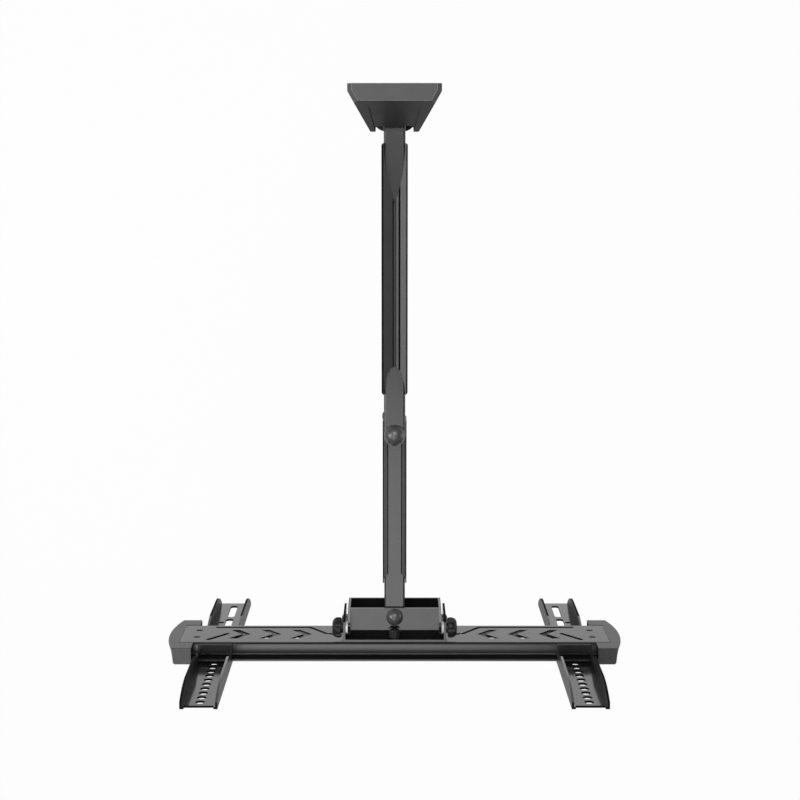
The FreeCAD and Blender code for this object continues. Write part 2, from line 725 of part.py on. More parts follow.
def arm_2_cover():
    """Moulded sleeve that wraps the second arm, with lips over the tube's top edges."""
    start = ELBOW_Y - COVER_2_START
    end = SWIVEL_Y + COVER_2_END
    half = COVER_2_W / 2
    inner = ARM_W / 2 + SEAT_GAP
    wall = half - inner
    room = ARM_H / 2 + COVER_2_LIP_GAP
    outer_h = room + wall
    low = ARM_2_Z - outer_h
    high = ARM_2_Z + outer_h
    cover = box(-half, half, end, start, low, high)
    cover = filleted(cover, ARM_CORNER_R, lambda e: runs_along(e, Y_AXIS))
    cover = cover.cut(box(-inner, inner, end, start, ARM_2_Z - room, ARM_2_Z + room))
    gap = COVER_2_LIP_INNER
    cover = cover.cut(box(-gap, gap, end, start, ARM_2_Z, high))
    lip_end = end + COVER_2_LIP_END
    wide = gap + COVER_2_LIP_CHAMFER
    flare = [
        (-gap, lip_end),
        (-wide, lip_end - COVER_2_LIP_CHAMFER),
        (-wide, end),
        (wide, end),
        (wide, lip_end - COVER_2_LIP_CHAMFER),
        (gap, lip_end),
    ]
    cover = cover.cut(prism_z(flare, ARM_2_Z + ARM_H / 2, high))
    washer_room = rod(V(0, ELBOW_Y, ARM_2_Z), Z_AXIS, outer_h, WASHER_R + COVER_2_WASHER_ROOM)
    cap_room = rod(V(0, ELBOW_Y, low), Z_AXIS, outer_h, ELBOW_CAP_R + COVER_2_CAP_ROOM)
    side_keep = box(-half, half, end, start, low, high)
    side_keep = side_keep.cut(box(-inner, inner, end, start, low, high))
    cut_rooms = washer_room.fuse(cap_room.cut(side_keep))
    return cover.cut(cut_rooms)


def arm_2_pieces():
    """The second arm with what turns with it."""
    tube = arm_tube(ELBOW_Y, SWIVEL_Y, ARM_2_Z, SLEEVE_R, SWIVEL_SLEEVE_R)
    export("arm_2_tube", tube)
    export("arm_2_elbow_sleeve", pivot_sleeve(ELBOW_Y, ARM_2_Z, SLEEVE_R, BOLT_R))
    export("arm_2_swivel_sleeve", pivot_sleeve(SWIVEL_Y, ARM_2_Z, SWIVEL_SLEEVE_R, SWIVEL_BOLT_R))
    export("arm_2_cover", arm_2_cover())
    top = V(0, ELBOW_Y, ARM_2_Z + ARM_H / 2)
    washer = ring(top, Z_AXIS, ELBOW_WASHER_T, WASHER_R, BOLT_R + RUNNING)
    export("elbow_washer", washer)


# Head


def swivel_side_plate():
    """Side of the swivel bracket, with rounded lugs for the tilt studs."""
    front = SWIVEL_Y + HEAD_FRONT
    back = SWIVEL_Y - HEAD_BACK
    low = ARM_2_Z - HEAD_OUTER_Z
    high = ARM_2_Z + HEAD_OUTER_Z
    plate = box(0, HEAD_T, back, front, low, high)
    lower_lug = rod(V(0, TILT_Y, TILT_Z), X_AXIS, HEAD_T, LUG_R)
    upper_lug = rod(V(0, TILT_Y, STUD_Z), X_AXIS, HEAD_T, LUG_R)
    between = box(0, HEAD_T, TILT_Y - LUG_R, TILT_Y, TILT_Z, STUD_Z)
    shoulder = prism_x(
        [(front, high), (TILT_Y, STUD_Z + LUG_R), (TILT_Y, high)],
        0,
        HEAD_T,
    )
    plate = plate.fuse([lower_lug, upper_lug, between, shoulder]).removeSplitter()
    for z, radius in ((TILT_Z, TILT_PIVOT_R), (STUD_Z, STUD_R)):
        plate = plate.cut(rod(V(0, TILT_Y, z), X_AXIS, HEAD_T, radius + RUNNING))
    return plate.translated(V(HEAD_HALF_W - HEAD_T, 0, 0))


def level_notch():
    """Room for the level knob in the swivel bracket's top and web."""
    back = SWIVEL_Y - HEAD_BACK
    front = SWIVEL_Y - NOTCH_FRONT
    tall = box(-NOTCH_HALF_W, NOTCH_HALF_W, back, front, ARM_2_Z + NOTCH_Z, ARM_2_Z + HEAD_OUTER_Z)
    corners = [
        e for e in tall.Edges if runs_along(e, Z_AXIS) and e.CenterOfMass.y > front - 0.1
    ]
    return tall.makeFillet(NOTCH_CORNER_R, corners)


def pivot_nut_room(side):
    """Cut-out in the bracket's web beside one side plate, round a tilt pivot nut."""
    inner = HEAD_HALF_W - HEAD_T
    deep = TILT_PIVOT_NUT_H + BOLT_END + TILT_PIVOT_NUT_ROOM
    half = TILT_PIVOT_NUT_AF / math.sqrt(3) + TILT_PIVOT_NUT_ROOM
    back = SWIVEL_Y - HEAD_BACK
    return box(
        side * (inner - deep), side * inner, back, back + HEAD_T, TILT_Z - half, TILT_Z + half
    )


def swivel_bracket():
    """Steel box open to the wall that turns on the second arm's end."""
    front = SWIVEL_Y + HEAD_FRONT
    back = SWIVEL_Y - HEAD_BACK
    inner = HEAD_INNER_Z
    body = box(
        -HEAD_HALF_W, HEAD_HALF_W, back, front, ARM_2_Z - HEAD_OUTER_Z, ARM_2_Z + HEAD_OUTER_Z
    )
    side = HEAD_HALF_W - HEAD_T
    body = body.cut(
        box(-side, side, back + HEAD_T, front, ARM_2_Z - inner, ARM_2_Z + inner)
    )
    plate = swivel_side_plate()
    body = body.fuse([plate, mirrored(plate)]).removeSplitter()
    for z, radius in ((TILT_Z, TILT_PIVOT_R), (STUD_Z, STUD_R)):
        across = rod(V(-HEAD_HALF_W, TILT_Y, z), X_AXIS, 2 * HEAD_HALF_W, radius + RUNNING)
        middle = box(-side, side, back - LUG_R, front, z - LUG_R, z + LUG_R)
        body = body.cut(across.cut(middle))
    body = body.cut(pivot_nut_room(1)).cut(pivot_nut_room(-1))
    hole = rod(
        V(0, SWIVEL_Y, ARM_2_Z - HEAD_OUTER_Z), Z_AXIS, 2 * HEAD_OUTER_Z, SWIVEL_BOLT_R + RUNNING
    )
    return body.cut(hole).cut(level_notch())


def head_pieces():
    """The swivel bracket with its bolt, washers and caps."""
    export("swivel_bracket", swivel_bracket())
    top = V(0, SWIVEL_Y, ARM_2_Z + HEAD_OUTER_Z)
    down = 2 * HEAD_OUTER_Z + NUT_WASHER_T + SWIVEL_NUT_H + BOLT_END
    export("swivel_bolt", hex_bolt(top, down, SWIVEL_BOLT_R, SWIVEL_HEX_AF, SWIVEL_HEAD_H))
    export("swivel_cap", dome_cap(top, SWIVEL_CAP_R, SWIVEL_CAP_SKIRT, SWIVEL_CAP_H))
    washers = []
    for z in (HEAD_INNER_Z - HEAD_WASHER_T, -HEAD_INNER_Z):
        place = V(0, SWIVEL_Y, ARM_2_Z + z)
        washers.append(
            ring(place, Z_AXIS, HEAD_WASHER_T, WASHER_R - 1, SWIVEL_BOLT_R + RUNNING)
        )
    export("swivel_washers", Part.makeCompound(washers))
    foot = V(0, SWIVEL_Y, ARM_2_Z - HEAD_OUTER_Z)
    under = foot - Z_AXIS * NUT_WASHER_T
    flat = ring(under, Z_AXIS, NUT_WASHER_T, SWIVEL_CAP_R - CAP_WALL - 1, SWIVEL_BOLT_R + RUNNING)
    export("swivel_nut_washer", flat)
    export("swivel_nut", hex_nut(under, -Z_AXIS, SWIVEL_NUT_H, SWIVEL_HEX_AF, SWIVEL_BOLT_R))
    skirt = NUT_WASHER_T + SWIVEL_NUT_H
    height = skirt + BOLT_END + SWIVEL_CAP_SKIRT + CAP_WALL
    cap = dome_cap(foot, SWIVEL_CAP_R, skirt, height, upwards=False)
    export("swivel_lower_cap", cap)
    spacers = []
    for z, radius in ((TILT_Z, TILT_PIVOT_R), (STUD_Z, STUD_R)):
        thick = TILT_EAR_INNER - HEAD_HALF_W - FACE_GAP
        place = V(HEAD_HALF_W, TILT_Y, z)
        spacer = ring(place, X_AXIS, thick, TILT_SPACER_R, radius + RUNNING)
        spacers += [spacer, mirrored(spacer)]
    export("tilt_spacers", Part.makeCompound(spacers))
    bolts = []
    nuts = []
    for side in (1, -1):
        bolt, nut = tilt_pivot(side)
        bolts.append(bolt)
        nuts.append(nut)
    export("tilt_pivot_bolts", Part.makeCompound(bolts))
    export("tilt_pivot_nuts", Part.makeCompound(nuts))


def tilt_pivot(side):
    """Round-headed bolt through one tilt ear and lug, and its nut inside the bracket."""
    out = X_AXIS * side
    face = V(side * (TILT_EAR_OUTER + FACE_GAP), TILT_Y, TILT_Z)
    head = dome(TILT_PIVOT_HEAD_R, TILT_PIVOT_HEAD_H / 3, TILT_PIVOT_HEAD_H)
    socket = hex_prism(V(0, 0, TILT_PIVOT_HEAD_H / 3), Z_AXIS, TILT_PIVOT_HEAD_H, TILT_PIVOT_R)
    head = head.cut(socket)
    head.Placement = FreeCAD.Placement(face, FreeCAD.Rotation(Z_AXIS, out))
    inner_face = HEAD_HALF_W - HEAD_T
    length = TILT_EAR_OUTER + FACE_GAP - inner_face + TILT_PIVOT_NUT_H + BOLT_END
    bolt = head.fuse(rod(face, -out, length, TILT_PIVOT_R)).removeSplitter()
    nut_at = V(side * inner_face, TILT_Y, TILT_Z)
    return bolt, hex_nut(nut_at, -out, TILT_PIVOT_NUT_H, TILT_PIVOT_NUT_AF, TILT_PIVOT_R)


# Tilt bracket and knobs


def tilt_ear(side):
    """One ear of the tilt bracket with its pivot hole and curved stud slot."""
    x0 = side * TILT_EAR_INNER
    x1 = side * TILT_EAR_OUTER
    front = TILT_Y + TILT_EAR_FRONT
    ear = box(x0, x1, TILT_PLATE_Y, front, ARM_2_Z - TILT_HALF_H, ARM_2_Z + TILT_HALF_H)
    corners = [
        e for e in ear.Edges if runs_along(e, X_AXIS) and e.CenterOfMass.y > front - 0.1
    ]
    ear = ear.makeFillet(TILT_CORNER_R, corners)
    low = min(x0, x1)
    ear = ear.cut(rod(V(low, TILT_Y, TILT_Z), X_AXIS, TILT_T, TILT_PIVOT_R + RUNNING))
    first = FreeCAD.Rotation(X_AXIS, TILT_UP_DEG + TILT_SLOT_SPARE_DEG).multVec(Z_AXIS)
    sweep = TILT_UP_DEG + TILT_DOWN_DEG + 2 * TILT_SLOT_SPARE_DEG
    slot = arc_slot(
        V(low, TILT_Y, TILT_Z), X_AXIS, TILT_STUD_RISE, TILT_SLOT_W, first, -sweep, TILT_T
    )
    return ear.cut(slot)


def tilt_bracket():
    """Folded steel bracket: a back plate against the rail and two ears."""
    back = box(
        -TILT_EAR_OUTER,
        TILT_EAR_OUTER,
        TILT_PLATE_Y,
        TILT_PLATE_Y + TILT_T,
        ARM_2_Z - TILT_HALF_H,
        ARM_2_Z + TILT_HALF_H,
    )
    bracket = back.fuse([tilt_ear(1), tilt_ear(-1)]).removeSplitter()
    for z, radius in ((0, LEVEL_PIVOT_R), (LEVEL_KNOB_Z, LEVEL_STUD_R)):
        hole = rod(V(0, TILT_PLATE_Y, ARM_2_Z + z), Y_AXIS, TILT_T, radius + RUNNING)
        bracket = bracket.cut(hole)
    return bracket


def tilt_knob(side):
    """Lobed clamp knob with its stud through ear, spacer and lug."""
    out = X_AXIS * side
    face = V(side * (TILT_EAR_OUTER + FACE_GAP), TILT_Y, STUD_Z)
    grip_l = KNOB_L - KNOB_HUB_L
    grip = lobed(
        face + out * KNOB_HUB_L,
        out,
        grip_l,
        KNOB_R,
        KNOB_LOBES,
        KNOB_SCALLOP_R,
        KNOB_SCALLOP_DEPTH,
        KNOB_EDGE,
        KNOB_CROWN_R,
    )
    hub = rod(face, out, KNOB_HUB_L + 1, KNOB_HUB_R)
    length = TILT_EAR_OUTER + FACE_GAP - (HEAD_HALF_W - HEAD_T)
    stud = rod(face, -out, length, STUD_R)
    return grip.fuse([hub, stud]).removeSplitter()


def level_knob():
    """Small lobed thumb screw that clamps the level setting."""
    face = V(0, TILT_PLATE_Y + TILT_T + FACE_GAP, ARM_2_Z + LEVEL_KNOB_Z)
    grip = lobed(
        face,
        Y_AXIS,
        LEVEL_KNOB_L,
        LEVEL_KNOB_R,
        LEVEL_KNOB_LOBES,
        LEVEL_SCALLOP_R,
        LEVEL_SCALLOP_DEPTH,
        LEVEL_SCALLOP_DEPTH,
        LEVEL_CROWN_R,
    )
    length = face.y - RAIL_Y + RAIL_T + FACE_GAP + LEVEL_NUT_H + BOLT_END
    return grip.fuse(rod(face, -Y_AXIS, length, LEVEL_STUD_R)).removeSplitter()


def tilt_pieces():
    """The tilt bracket with the level pivot, and the three knobs."""
    export("tilt_bracket", tilt_bracket())
    export("tilt_knob_left", tilt_knob(-1))
    export("tilt_knob_right", tilt_knob(1))
    face = V(0, TILT_PLATE_Y + TILT_T, ARM_2_Z)
    head = rod(face, Y_AXIS, LEVEL_PIVOT_HEAD_H, LEVEL_PIVOT_HEAD_R)
    rim = [e for e in head.Edges if e.Closed and e.CenterOfMass.y > face.y + 0.1]
    head = head.makeFillet(LEVEL_PIVOT_HEAD_H / 2, rim)
    behind = V(0, RAIL_Y - RAIL_T - FACE_GAP, ARM_2_Z)
    length = face.y - behind.y + LEVEL_PIVOT_NUT_H + BOLT_END
    bolt = head.fuse(rod(face, -Y_AXIS, length, LEVEL_PIVOT_R)).removeSplitter()
    export("level_pivot_bolt", bolt)
    export(
        "level_pivot_nut",
        hex_nut(behind, -Y_AXIS, LEVEL_PIVOT_NUT_H, LEVEL_PIVOT_NUT_AF, LEVEL_PIVOT_R),
    )
    export("level_knob", level_knob())
    nut_at = behind + Z_AXIS * LEVEL_KNOB_Z
    export("level_nut", hex_nut(nut_at, -Y_AXIS, LEVEL_NUT_H, LEVEL_NUT_AF, LEVEL_STUD_R))


# Rail


def rail_section():
    """Half of the hat section's outline, as (y, z) points from the middle up."""
    return [
        (RAIL_Y, 0),
        (RAIL_Y, RAIL_HALF_H),
        (LIP_Y + RAIL_T, RAIL_HALF_H),
        (LIP_Y + RAIL_T, RAIL_LIP_H),
        (LIP_Y, RAIL_LIP_H),
        (LIP_Y, RAIL_HALF_H - RAIL_T),
        (RAIL_Y - RAIL_T, RAIL_HALF_H - RAIL_T),
        (RAIL_Y - RAIL_T, 0),
    ]


def rail_body():
    """The folded rail before its cut-outs."""
    upper = rail_section()
    lower = [(y, -z) for y, z in reversed(upper)]
    outline = [(y, ARM_2_Z + z) for y, z in upper[1:-1] + lower[1:-1]]
    body = prism_x(outline, -RAIL_HALF_L, RAIL_HALF_L)
    outer_bends = []
    inner_bends = []
    for edge in body.Edges:
        if not runs_along(edge, X_AXIS):
            continue
        place = edge.CenterOfMass
        height = abs(place.z - ARM_2_Z)
        at_face = abs(place.y - RAIL_Y) < 0.1
        at_back = abs(place.y - LIP_Y) < 0.1
        if height > RAIL_HALF_H + 1:
            continue
        if at_face or at_back:
            outer_bends.append(edge)
        else:
            inner_bends.append(edge)
    body = body.makeFillet(RAIL_BEND_R, outer_bends)
    inner = [
        e
        for e in body.Edges
        if runs_along(e, X_AXIS)
        and any((e.CenterOfMass - b.CenterOfMass).Length < 0.01 for b in inner_bends)
    ]
    return body.makeFillet(RAIL_BEND_INNER_R, inner)


def chevron(tip_x):
    """An arrow-shaped cut-out whose tip points to the middle of the rail."""
    far = tip_x + CHEVRON_RUN
    return prism_y(
        [
            (tip_x, ARM_2_Z + CHEVRON_Z),
            (far, ARM_2_Z + CHEVRON_Z + CHEVRON_HALF_H),
            (far + CHEVRON_STROKE, ARM_2_Z + CHEVRON_Z + CHEVRON_HALF_H),
            (tip_x + CHEVRON_STROKE, ARM_2_Z + CHEVRON_Z),
            (far + CHEVRON_STROKE, ARM_2_Z + CHEVRON_Z - CHEVRON_HALF_H),
            (far, ARM_2_Z + CHEVRON_Z - CHEVRON_HALF_H),
        ],
        RAIL_Y - RAIL_T,
        RAIL_Y,
    )


def rail_cut_outs():
    """Every cut-out on the rail's right half."""
    y0 = RAIL_Y - RAIL_T
    y1 = RAIL_Y
    z = ARM_2_Z
    cuts = [chevron(CHEVRON_FIRST_X + i * CHEVRON_PITCH) for i in range(CHEVRON_TIPS)]
    lines = [
        (LINE_SLOT_INNER_X, LINE_SLOT_Z, LINE_SLOT_OUTER_X, LINE_SLOT_Z, LINE_SLOT_W),
        (LINE_SLOT_TIP_X, 0, LINE_SLOT_INNER_X, LINE_SLOT_Z, LINE_SLOT_W),
        (INNER_SLOT_X - INNER_SLOT_RUN, INNER_SLOT_DROP, INNER_SLOT_X, 0, LINE_SLOT_W),
        (OUTER_SLOT_X, 0, OUTER_SLOT_X + OUTER_SLOT_RUN, OUTER_SLOT_DROP, LINE_SLOT_W),
    ]
    half = (END_SLOT_L - END_SLOT_W) / 2
    for end_z in (-END_SLOT_Z, END_SLOT_Z):
        lines.append((END_SLOT_X - half, end_z, END_SLOT_X + half, end_z, END_SLOT_W))
    for xa, za, xb, zb, width in lines:
        cuts.append(line_slot(xa, z + za, xb, z + zb, width, y0, y1))
    return cuts


def rail():
    """Folded steel rail with its cut-outs, level pivot hole and level slot."""
    body = rail_body()
    cuts = rail_cut_outs()
    cuts += [mirrored(cut) for cut in cuts]
    low = V(0, RAIL_Y - RAIL_T, ARM_2_Z)
    cuts.append(rod(low, Y_AXIS, RAIL_T, LEVEL_PIVOT_R + RUNNING))
    sweep = 2 * (LEVEL_DEG + LEVEL_SLOT_SPARE_DEG)
    first = FreeCAD.Rotation(Y_AXIS, -sweep / 2).multVec(Z_AXIS)
    cuts.append(arc_slot(low, Y_AXIS, LEVEL_KNOB_Z, LEVEL_SLOT_W, first, sweep, RAIL_T))
    for cut in cuts:
        body = body.cut(cut)
    return body


def cap_outline(inset, y):
    """The end cap's outline at one depth: it bulges outwards, most of all near the wall."""
    share = (RAIL_Y - y) / (RAIL_Y - CAP_BACK_Y)
    inner = CAP_INNER_X
    top = CAP_TOP_H - inset
    corner = CAP_EDGE_X - share * CAP_BACK_IN - inset
    bulge = CAP_FRONT_BULGE + share * (CAP_BACK_BULGE - CAP_FRONT_BULGE)
    low_in = V(inner, y, ARM_2_Z - top)
    low_out = V(corner, y, ARM_2_Z - top)
    middle = V(corner + bulge, y, ARM_2_Z)
    high_out = V(corner, y, ARM_2_Z + top)
    high_in = V(inner, y, ARM_2_Z + top)
    return Part.Wire(
        [
            Part.makeLine(low_in, low_out),
            Part.Arc(low_out, middle, high_out).toShape(),
            Part.makeLine(high_out, high_in),
            Part.makeLine(high_in, low_in),
        ]
    )


def cap_form(inset, y0, y1):
    """The end cap's outer form, or its hollow, between two depths."""
    return Part.makeLoft([cap_outline(inset, y0), cap_outline(inset, y1)], True, True)


def rail_cap():
    """Moulded cap pushed over the rail's right end, hollow, with the rail's section open."""
    back = CAP_BACK_Y
    shell = cap_form(0, back, RAIL_Y)
    rear = [
        e
        for e in shell.Edges
        if e.CenterOfMass.x > RAIL_HALF_L + 1 and abs(e.CenterOfMass.y - back) < 0.1
    ]
    shell = shell.makeChamfer(CAP_BACK_BEVEL, rear)
    outer = [
        e
        for e in shell.Edges
        if e.CenterOfMass.x > CAP_INNER_X + 1 and e.CenterOfMass.y > RAIL_Y - 0.1
    ]
    shell = shell.makeFillet(COVER_EDGE_R, outer)
    hollow = cap_form(CAP_SHELL, back + CAP_SHELL, RAIL_Y - CAP_SHELL)
    stop = RAIL_HALF_L + SEAT_GAP
    face = RAIL_HALF_H + SEAT_GAP
    lip = RAIL_LIP_H + SEAT_GAP
    face_room = box(
        CAP_INNER_X, stop, RAIL_Y - RAIL_T - SEAT_GAP, RAIL_Y, ARM_2_Z - face, ARM_2_Z + face
    )
    lip_room = box(
        CAP_INNER_X,
        stop,
        LIP_Y - SEAT_GAP,
        LIP_Y + RAIL_T + SEAT_GAP,
        ARM_2_Z - lip,
        ARM_2_Z + lip,
    )
    end_wall = box(stop, stop + CAP_PLUG_WALL, back, RAIL_Y, ARM_2_Z - face, ARM_2_Z + face)
    shell = shell.cut(hollow).cut(face_room).cut(lip_room)
    end_wall = end_wall.common(cap_form(0, back, RAIL_Y))
    return shell.fuse(end_wall).removeSplitter()


def rail_pieces():
    """The rail and its two end caps."""
    export("rail", rail())
    cap = rail_cap()
    export("rail_cap_right", cap)
    export("rail_cap_left", mirrored(cap))


# Television brackets


def hook_outline():
    """Middle of a side flange seen from the side, as (y, z) points from the top one down."""
    deep = BRACKET_Y + FLANGE_DEPTH
    hook = BRACKET_Y + HOOK_DEPTH
    throat = BRACKET_Y + BRACKET_THROAT_DEPTH
    lip_front = LIP_Y + RAIL_T + SEAT_GAP
    lip_top = RAIL_LIP_H + SEAT_GAP
    leg_end = RAIL_HALF_H + GUIDE_H + 2 * SEAT_GAP
    return [
        (deep, FLANGE_FULL_Z),
        (hook, lip_top + HOOK_RISE),
        (hook, lip_top - HOOK_DROP),
        (lip_front + HOOK_LEG_W, lip_top - 2 * HOOK_DROP),
        (lip_front + HOOK_LEG_W, leg_end),
        (lip_front, leg_end),
        (lip_front, lip_top),
        (throat, lip_top),
        (throat, -lip_top),
        (hook, -lip_top),
        (deep, -FLANGE_FULL_Z),
    ]


def end_arc(x, end_z, end_depth, way):
    """The curved end of a flange's free edge, from its tip to its full depth."""
    tip_y = BRACKET_Y + end_depth
    deep = BRACKET_Y + FLANGE_DEPTH
    rise = FLANGE_DEPTH - end_depth
    arc_r = (FLANGE_CURVE_L ** 2 + rise ** 2) / (2 * rise)
    half_way = FLANGE_CURVE_L / 2
    arc_y = deep - arc_r + math.sqrt(arc_r ** 2 - half_way ** 2)
    z = ARM_2_Z + end_z
    tip = V(x, tip_y, z)
    middle = V(x, arc_y, z + way * half_way)
    full = V(x, deep, z + way * FLANGE_CURVE_L)
    return tip, full, Part.Arc(tip, middle, full).toShape()


def flange(x0, x1):
    """One deep side flange with curved ends and the hook for the rail's upper lip."""
    web = BRACKET_Y - BRACKET_T
    web_top = V(x0, web, ARM_2_Z + BRACKET_TOP)
    web_low = V(x0, web, ARM_2_Z + BRACKET_BOTTOM)
    top_tip, top_full, top_arc = end_arc(x0, BRACKET_TOP, FLANGE_TOP_DEPTH, -1)
    low_tip, low_full, low_arc = end_arc(x0, BRACKET_BOTTOM, FLANGE_LOW_DEPTH, 1)
    middle = [V(x0, y, ARM_2_Z + z) for y, z in hook_outline()]
    points = [top_full] + middle + [low_full]
    edges = [Part.makeLine(web_top, top_tip), top_arc]
    edges += [Part.makeLine(a, b) for a, b in zip(points, points[1:])]
    edges += [low_arc, Part.makeLine(low_tip, web_low), Part.makeLine(web_low, web_top)]
    return Part.Face(Part.Wire(Part.__sortEdges__(edges))).extrude(V(x1 - x0, 0, 0))


def bracket_holes(outer_side):
    """The screw holes and slots in a television bracket's web."""
    y0 = BRACKET_Y - BRACKET_T
    y1 = BRACKET_Y
    cuts = []
    for i in range(HOLE_COUNT):
        z = ARM_2_Z + HOLE_TOP_Z - i * HOLE_PITCH
        cuts.append(rod(V(0, y0, z), Y_AXIS, BRACKET_T, HOLE_R))
    reach = (LONG_SLOT_L - LONG_SLOT_W) / 2
    for middle in LONG_SLOT_Z:
        z = ARM_2_Z + middle
        cuts.append(line_slot(0, z - reach, 0, z + reach, LONG_SLOT_W, y0, y1))
    side = V(outer_side * SMALL_HOLE_OUT, y0, ARM_2_Z + SMALL_HOLE_Z)
    cuts.append(rod(side, Y_AXIS, BRACKET_T, SMALL_HOLE_R))
    return cuts


def tv_bracket(outer_side):
    """Folded steel bracket for the back of the television, centred on x = 0."""
    half = BRACKET_HALF_W
    web = box(
        -half, half, BRACKET_Y - BRACKET_T, BRACKET_Y, ARM_2_Z + BRACKET_BOTTOM, ARM_2_Z + BRACKET_TOP
    )
    reach = BRACKET_NOTCH_HALF_W
    top = ARM_2_Z + BRACKET_TOP
    notch = top - BRACKET_TOP_NOTCH
    web = web.cut(box(-reach, reach, BRACKET_Y - BRACKET_T, BRACKET_Y, notch, top))
    sides = [flange(-half, -half + BRACKET_T), flange(half - BRACKET_T, half)]
    bracket = web.fuse(sides).removeSplitter()
    for cut in bracket_holes(outer_side):
        bracket = bracket.cut(cut)
    return bracket


def hook_guide():
    """Plastic pad that slides in the rail's upper step under both hooks, centred on x = 0."""
    wide = BRACKET_HALF_W - SEAT_GAP
    low = ARM_2_Z + RAIL_HALF_H + SEAT_GAP
    top = low + GUIDE_H
    pad = box(-wide, wide, RAIL_Y - GUIDE_BACK, RAIL_Y - GUIDE_FRONT, low, top)
    return filleted(pad, GUIDE_EDGE_R, lambda e: e.CenterOfMass.z > top - 0.1)


def lower_clip():
    """Plastic clip over the rail's lower lip, between the flanges, centred on x = 0."""
    half = BRACKET_HALF_W - BRACKET_T - CLIP_SIDE_GAP
    behind_lip = LIP_Y + RAIL_T + SEAT_GAP
    front = behind_lip + CLIP_T
    lip = ARM_2_Z - RAIL_LIP_H - SEAT_GAP
    high = ARM_2_Z - RAIL_HALF_H - RAIL_BEND_INNER_R - SEAT_GAP
    tongue = box(-half, half, behind_lip, front, lip, high)
    base = box(-half, half, BRACKET_Y + SEAT_GAP, front, lip - CLIP_T, lip)
    return base.fuse(tongue).removeSplitter()


def tv_bracket_pieces():
    """Both television brackets with their guides and clips."""
    for name, side in (("left", -1), ("right", 1)):
        place = V(side * BRACKET_X, 0, 0)
        export("tv_bracket_" + name, tv_bracket(side).translated(place))
        export("hook_guide_" + name, hook_guide().translated(place))
        export("lower_clip_" + name, lower_clip().translated(place))


def main():
    """Writes every piece."""
    os.makedirs("parts", exist_ok=True)
    export("wall_plate", wall_plate())
    export("wall_pivot_bracket", wall_pivot_bracket())
    export("wall_cover", wall_cover())
    wall_pivot_set()
    arm_1_pieces()
    arm_2_pieces()
    head_pieces()
    tilt_pieces()
    rail_pieces()
    tv_bracket_pieces()


main()
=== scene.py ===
"""Looks of a swivel wall mount for a television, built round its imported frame.

Run as a script, it loads the frame, dresses every piece and sets up the stage.
"""

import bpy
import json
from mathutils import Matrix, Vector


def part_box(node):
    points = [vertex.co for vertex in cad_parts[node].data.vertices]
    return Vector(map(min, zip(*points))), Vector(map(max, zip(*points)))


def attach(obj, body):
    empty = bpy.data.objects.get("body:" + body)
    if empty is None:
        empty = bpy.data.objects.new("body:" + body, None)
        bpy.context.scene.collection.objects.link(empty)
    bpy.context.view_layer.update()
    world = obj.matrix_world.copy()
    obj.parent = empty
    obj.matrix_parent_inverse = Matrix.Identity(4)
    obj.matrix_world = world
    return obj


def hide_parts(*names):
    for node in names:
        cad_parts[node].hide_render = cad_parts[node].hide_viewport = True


bl_info = {
    "name": "Swivel TV Wall Mount",
    "version": (1, 0, 0),
    "blender": (4, 5, 0),
    "location": "View3D > Sidebar > Mount",
    "description": "Dresses a folding-arm television mount in powder coat, moulded plastic and zinc",
    "category": "Object",
}

import bmesh
import bpy
import json
import math
from mathutils import Matrix, Vector

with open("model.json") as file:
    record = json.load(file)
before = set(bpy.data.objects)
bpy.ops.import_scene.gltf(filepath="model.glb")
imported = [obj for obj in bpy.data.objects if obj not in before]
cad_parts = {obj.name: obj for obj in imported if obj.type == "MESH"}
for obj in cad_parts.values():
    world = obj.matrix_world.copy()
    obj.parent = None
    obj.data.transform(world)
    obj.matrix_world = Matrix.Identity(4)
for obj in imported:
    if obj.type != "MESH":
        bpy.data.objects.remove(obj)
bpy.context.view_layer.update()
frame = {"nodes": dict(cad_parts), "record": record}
BODY_OF = {}
for body_name, members in frame["record"]["behaviour"]["bodies"].items():
    for member in members:
        BODY_OF[member] = body_name
SLOT_OF = {part["node"]: part["material_slot"] for part in frame["record"]["subparts"]}
COLOUR_OF = {m["slot"]: tuple(m["base_color"][:3]) for m in frame["record"]["materials"]}

# Mesh tolerances: merging distance in metres, angles in degrees
MERGE = 0.000002
FLAT_ANGLE = 0.6
BEVEL_ANGLE = 32.0
BEVEL_STEPS = 2
SHARP_ANGLE = 38.0

# Moulded finishes: roughness, grain strength, specular level, how much paler the edges are, partly
# as wear and partly as a painted highlight
MOULDED = {
    "dome_plastic": (0.34, 0.1, 0.6, 1.5),
    "knob_plastic": (0.35, 0.2, 0.15, 1.5),
    # The wall cover's edges are six times paler: a painted highlight along them, far paler than any
    # wear.
    "cover_plastic": (0.5, 0.35, 0.3, 6.0),
    "arm_cover_plastic": (0.42, 0.35, 0.35, 1.5),
}
OTHER_MOULDED = (0.36, 0.3, 0.34, 1.5)

# Powder coat: lowest roughness, its spread, and how much paler the edges are, partly as wear and
# partly as a painted highlight
COAT_GLOSS = 0.19
BRACKET_GLOSS = 0.09
COAT_SPREAD = 0.07
COAT_EDGE_WEAR_AND_HIGHLIGHT = 2.6

# Lit and shaded copies of two finishes, tone and specular level: painted shade on the wall cover's
# slope, painted light on the bracket flanks
SLOPE_SHADE = (0.5, 0.12)
FLANK_LIGHT = (1.6, 0.14)

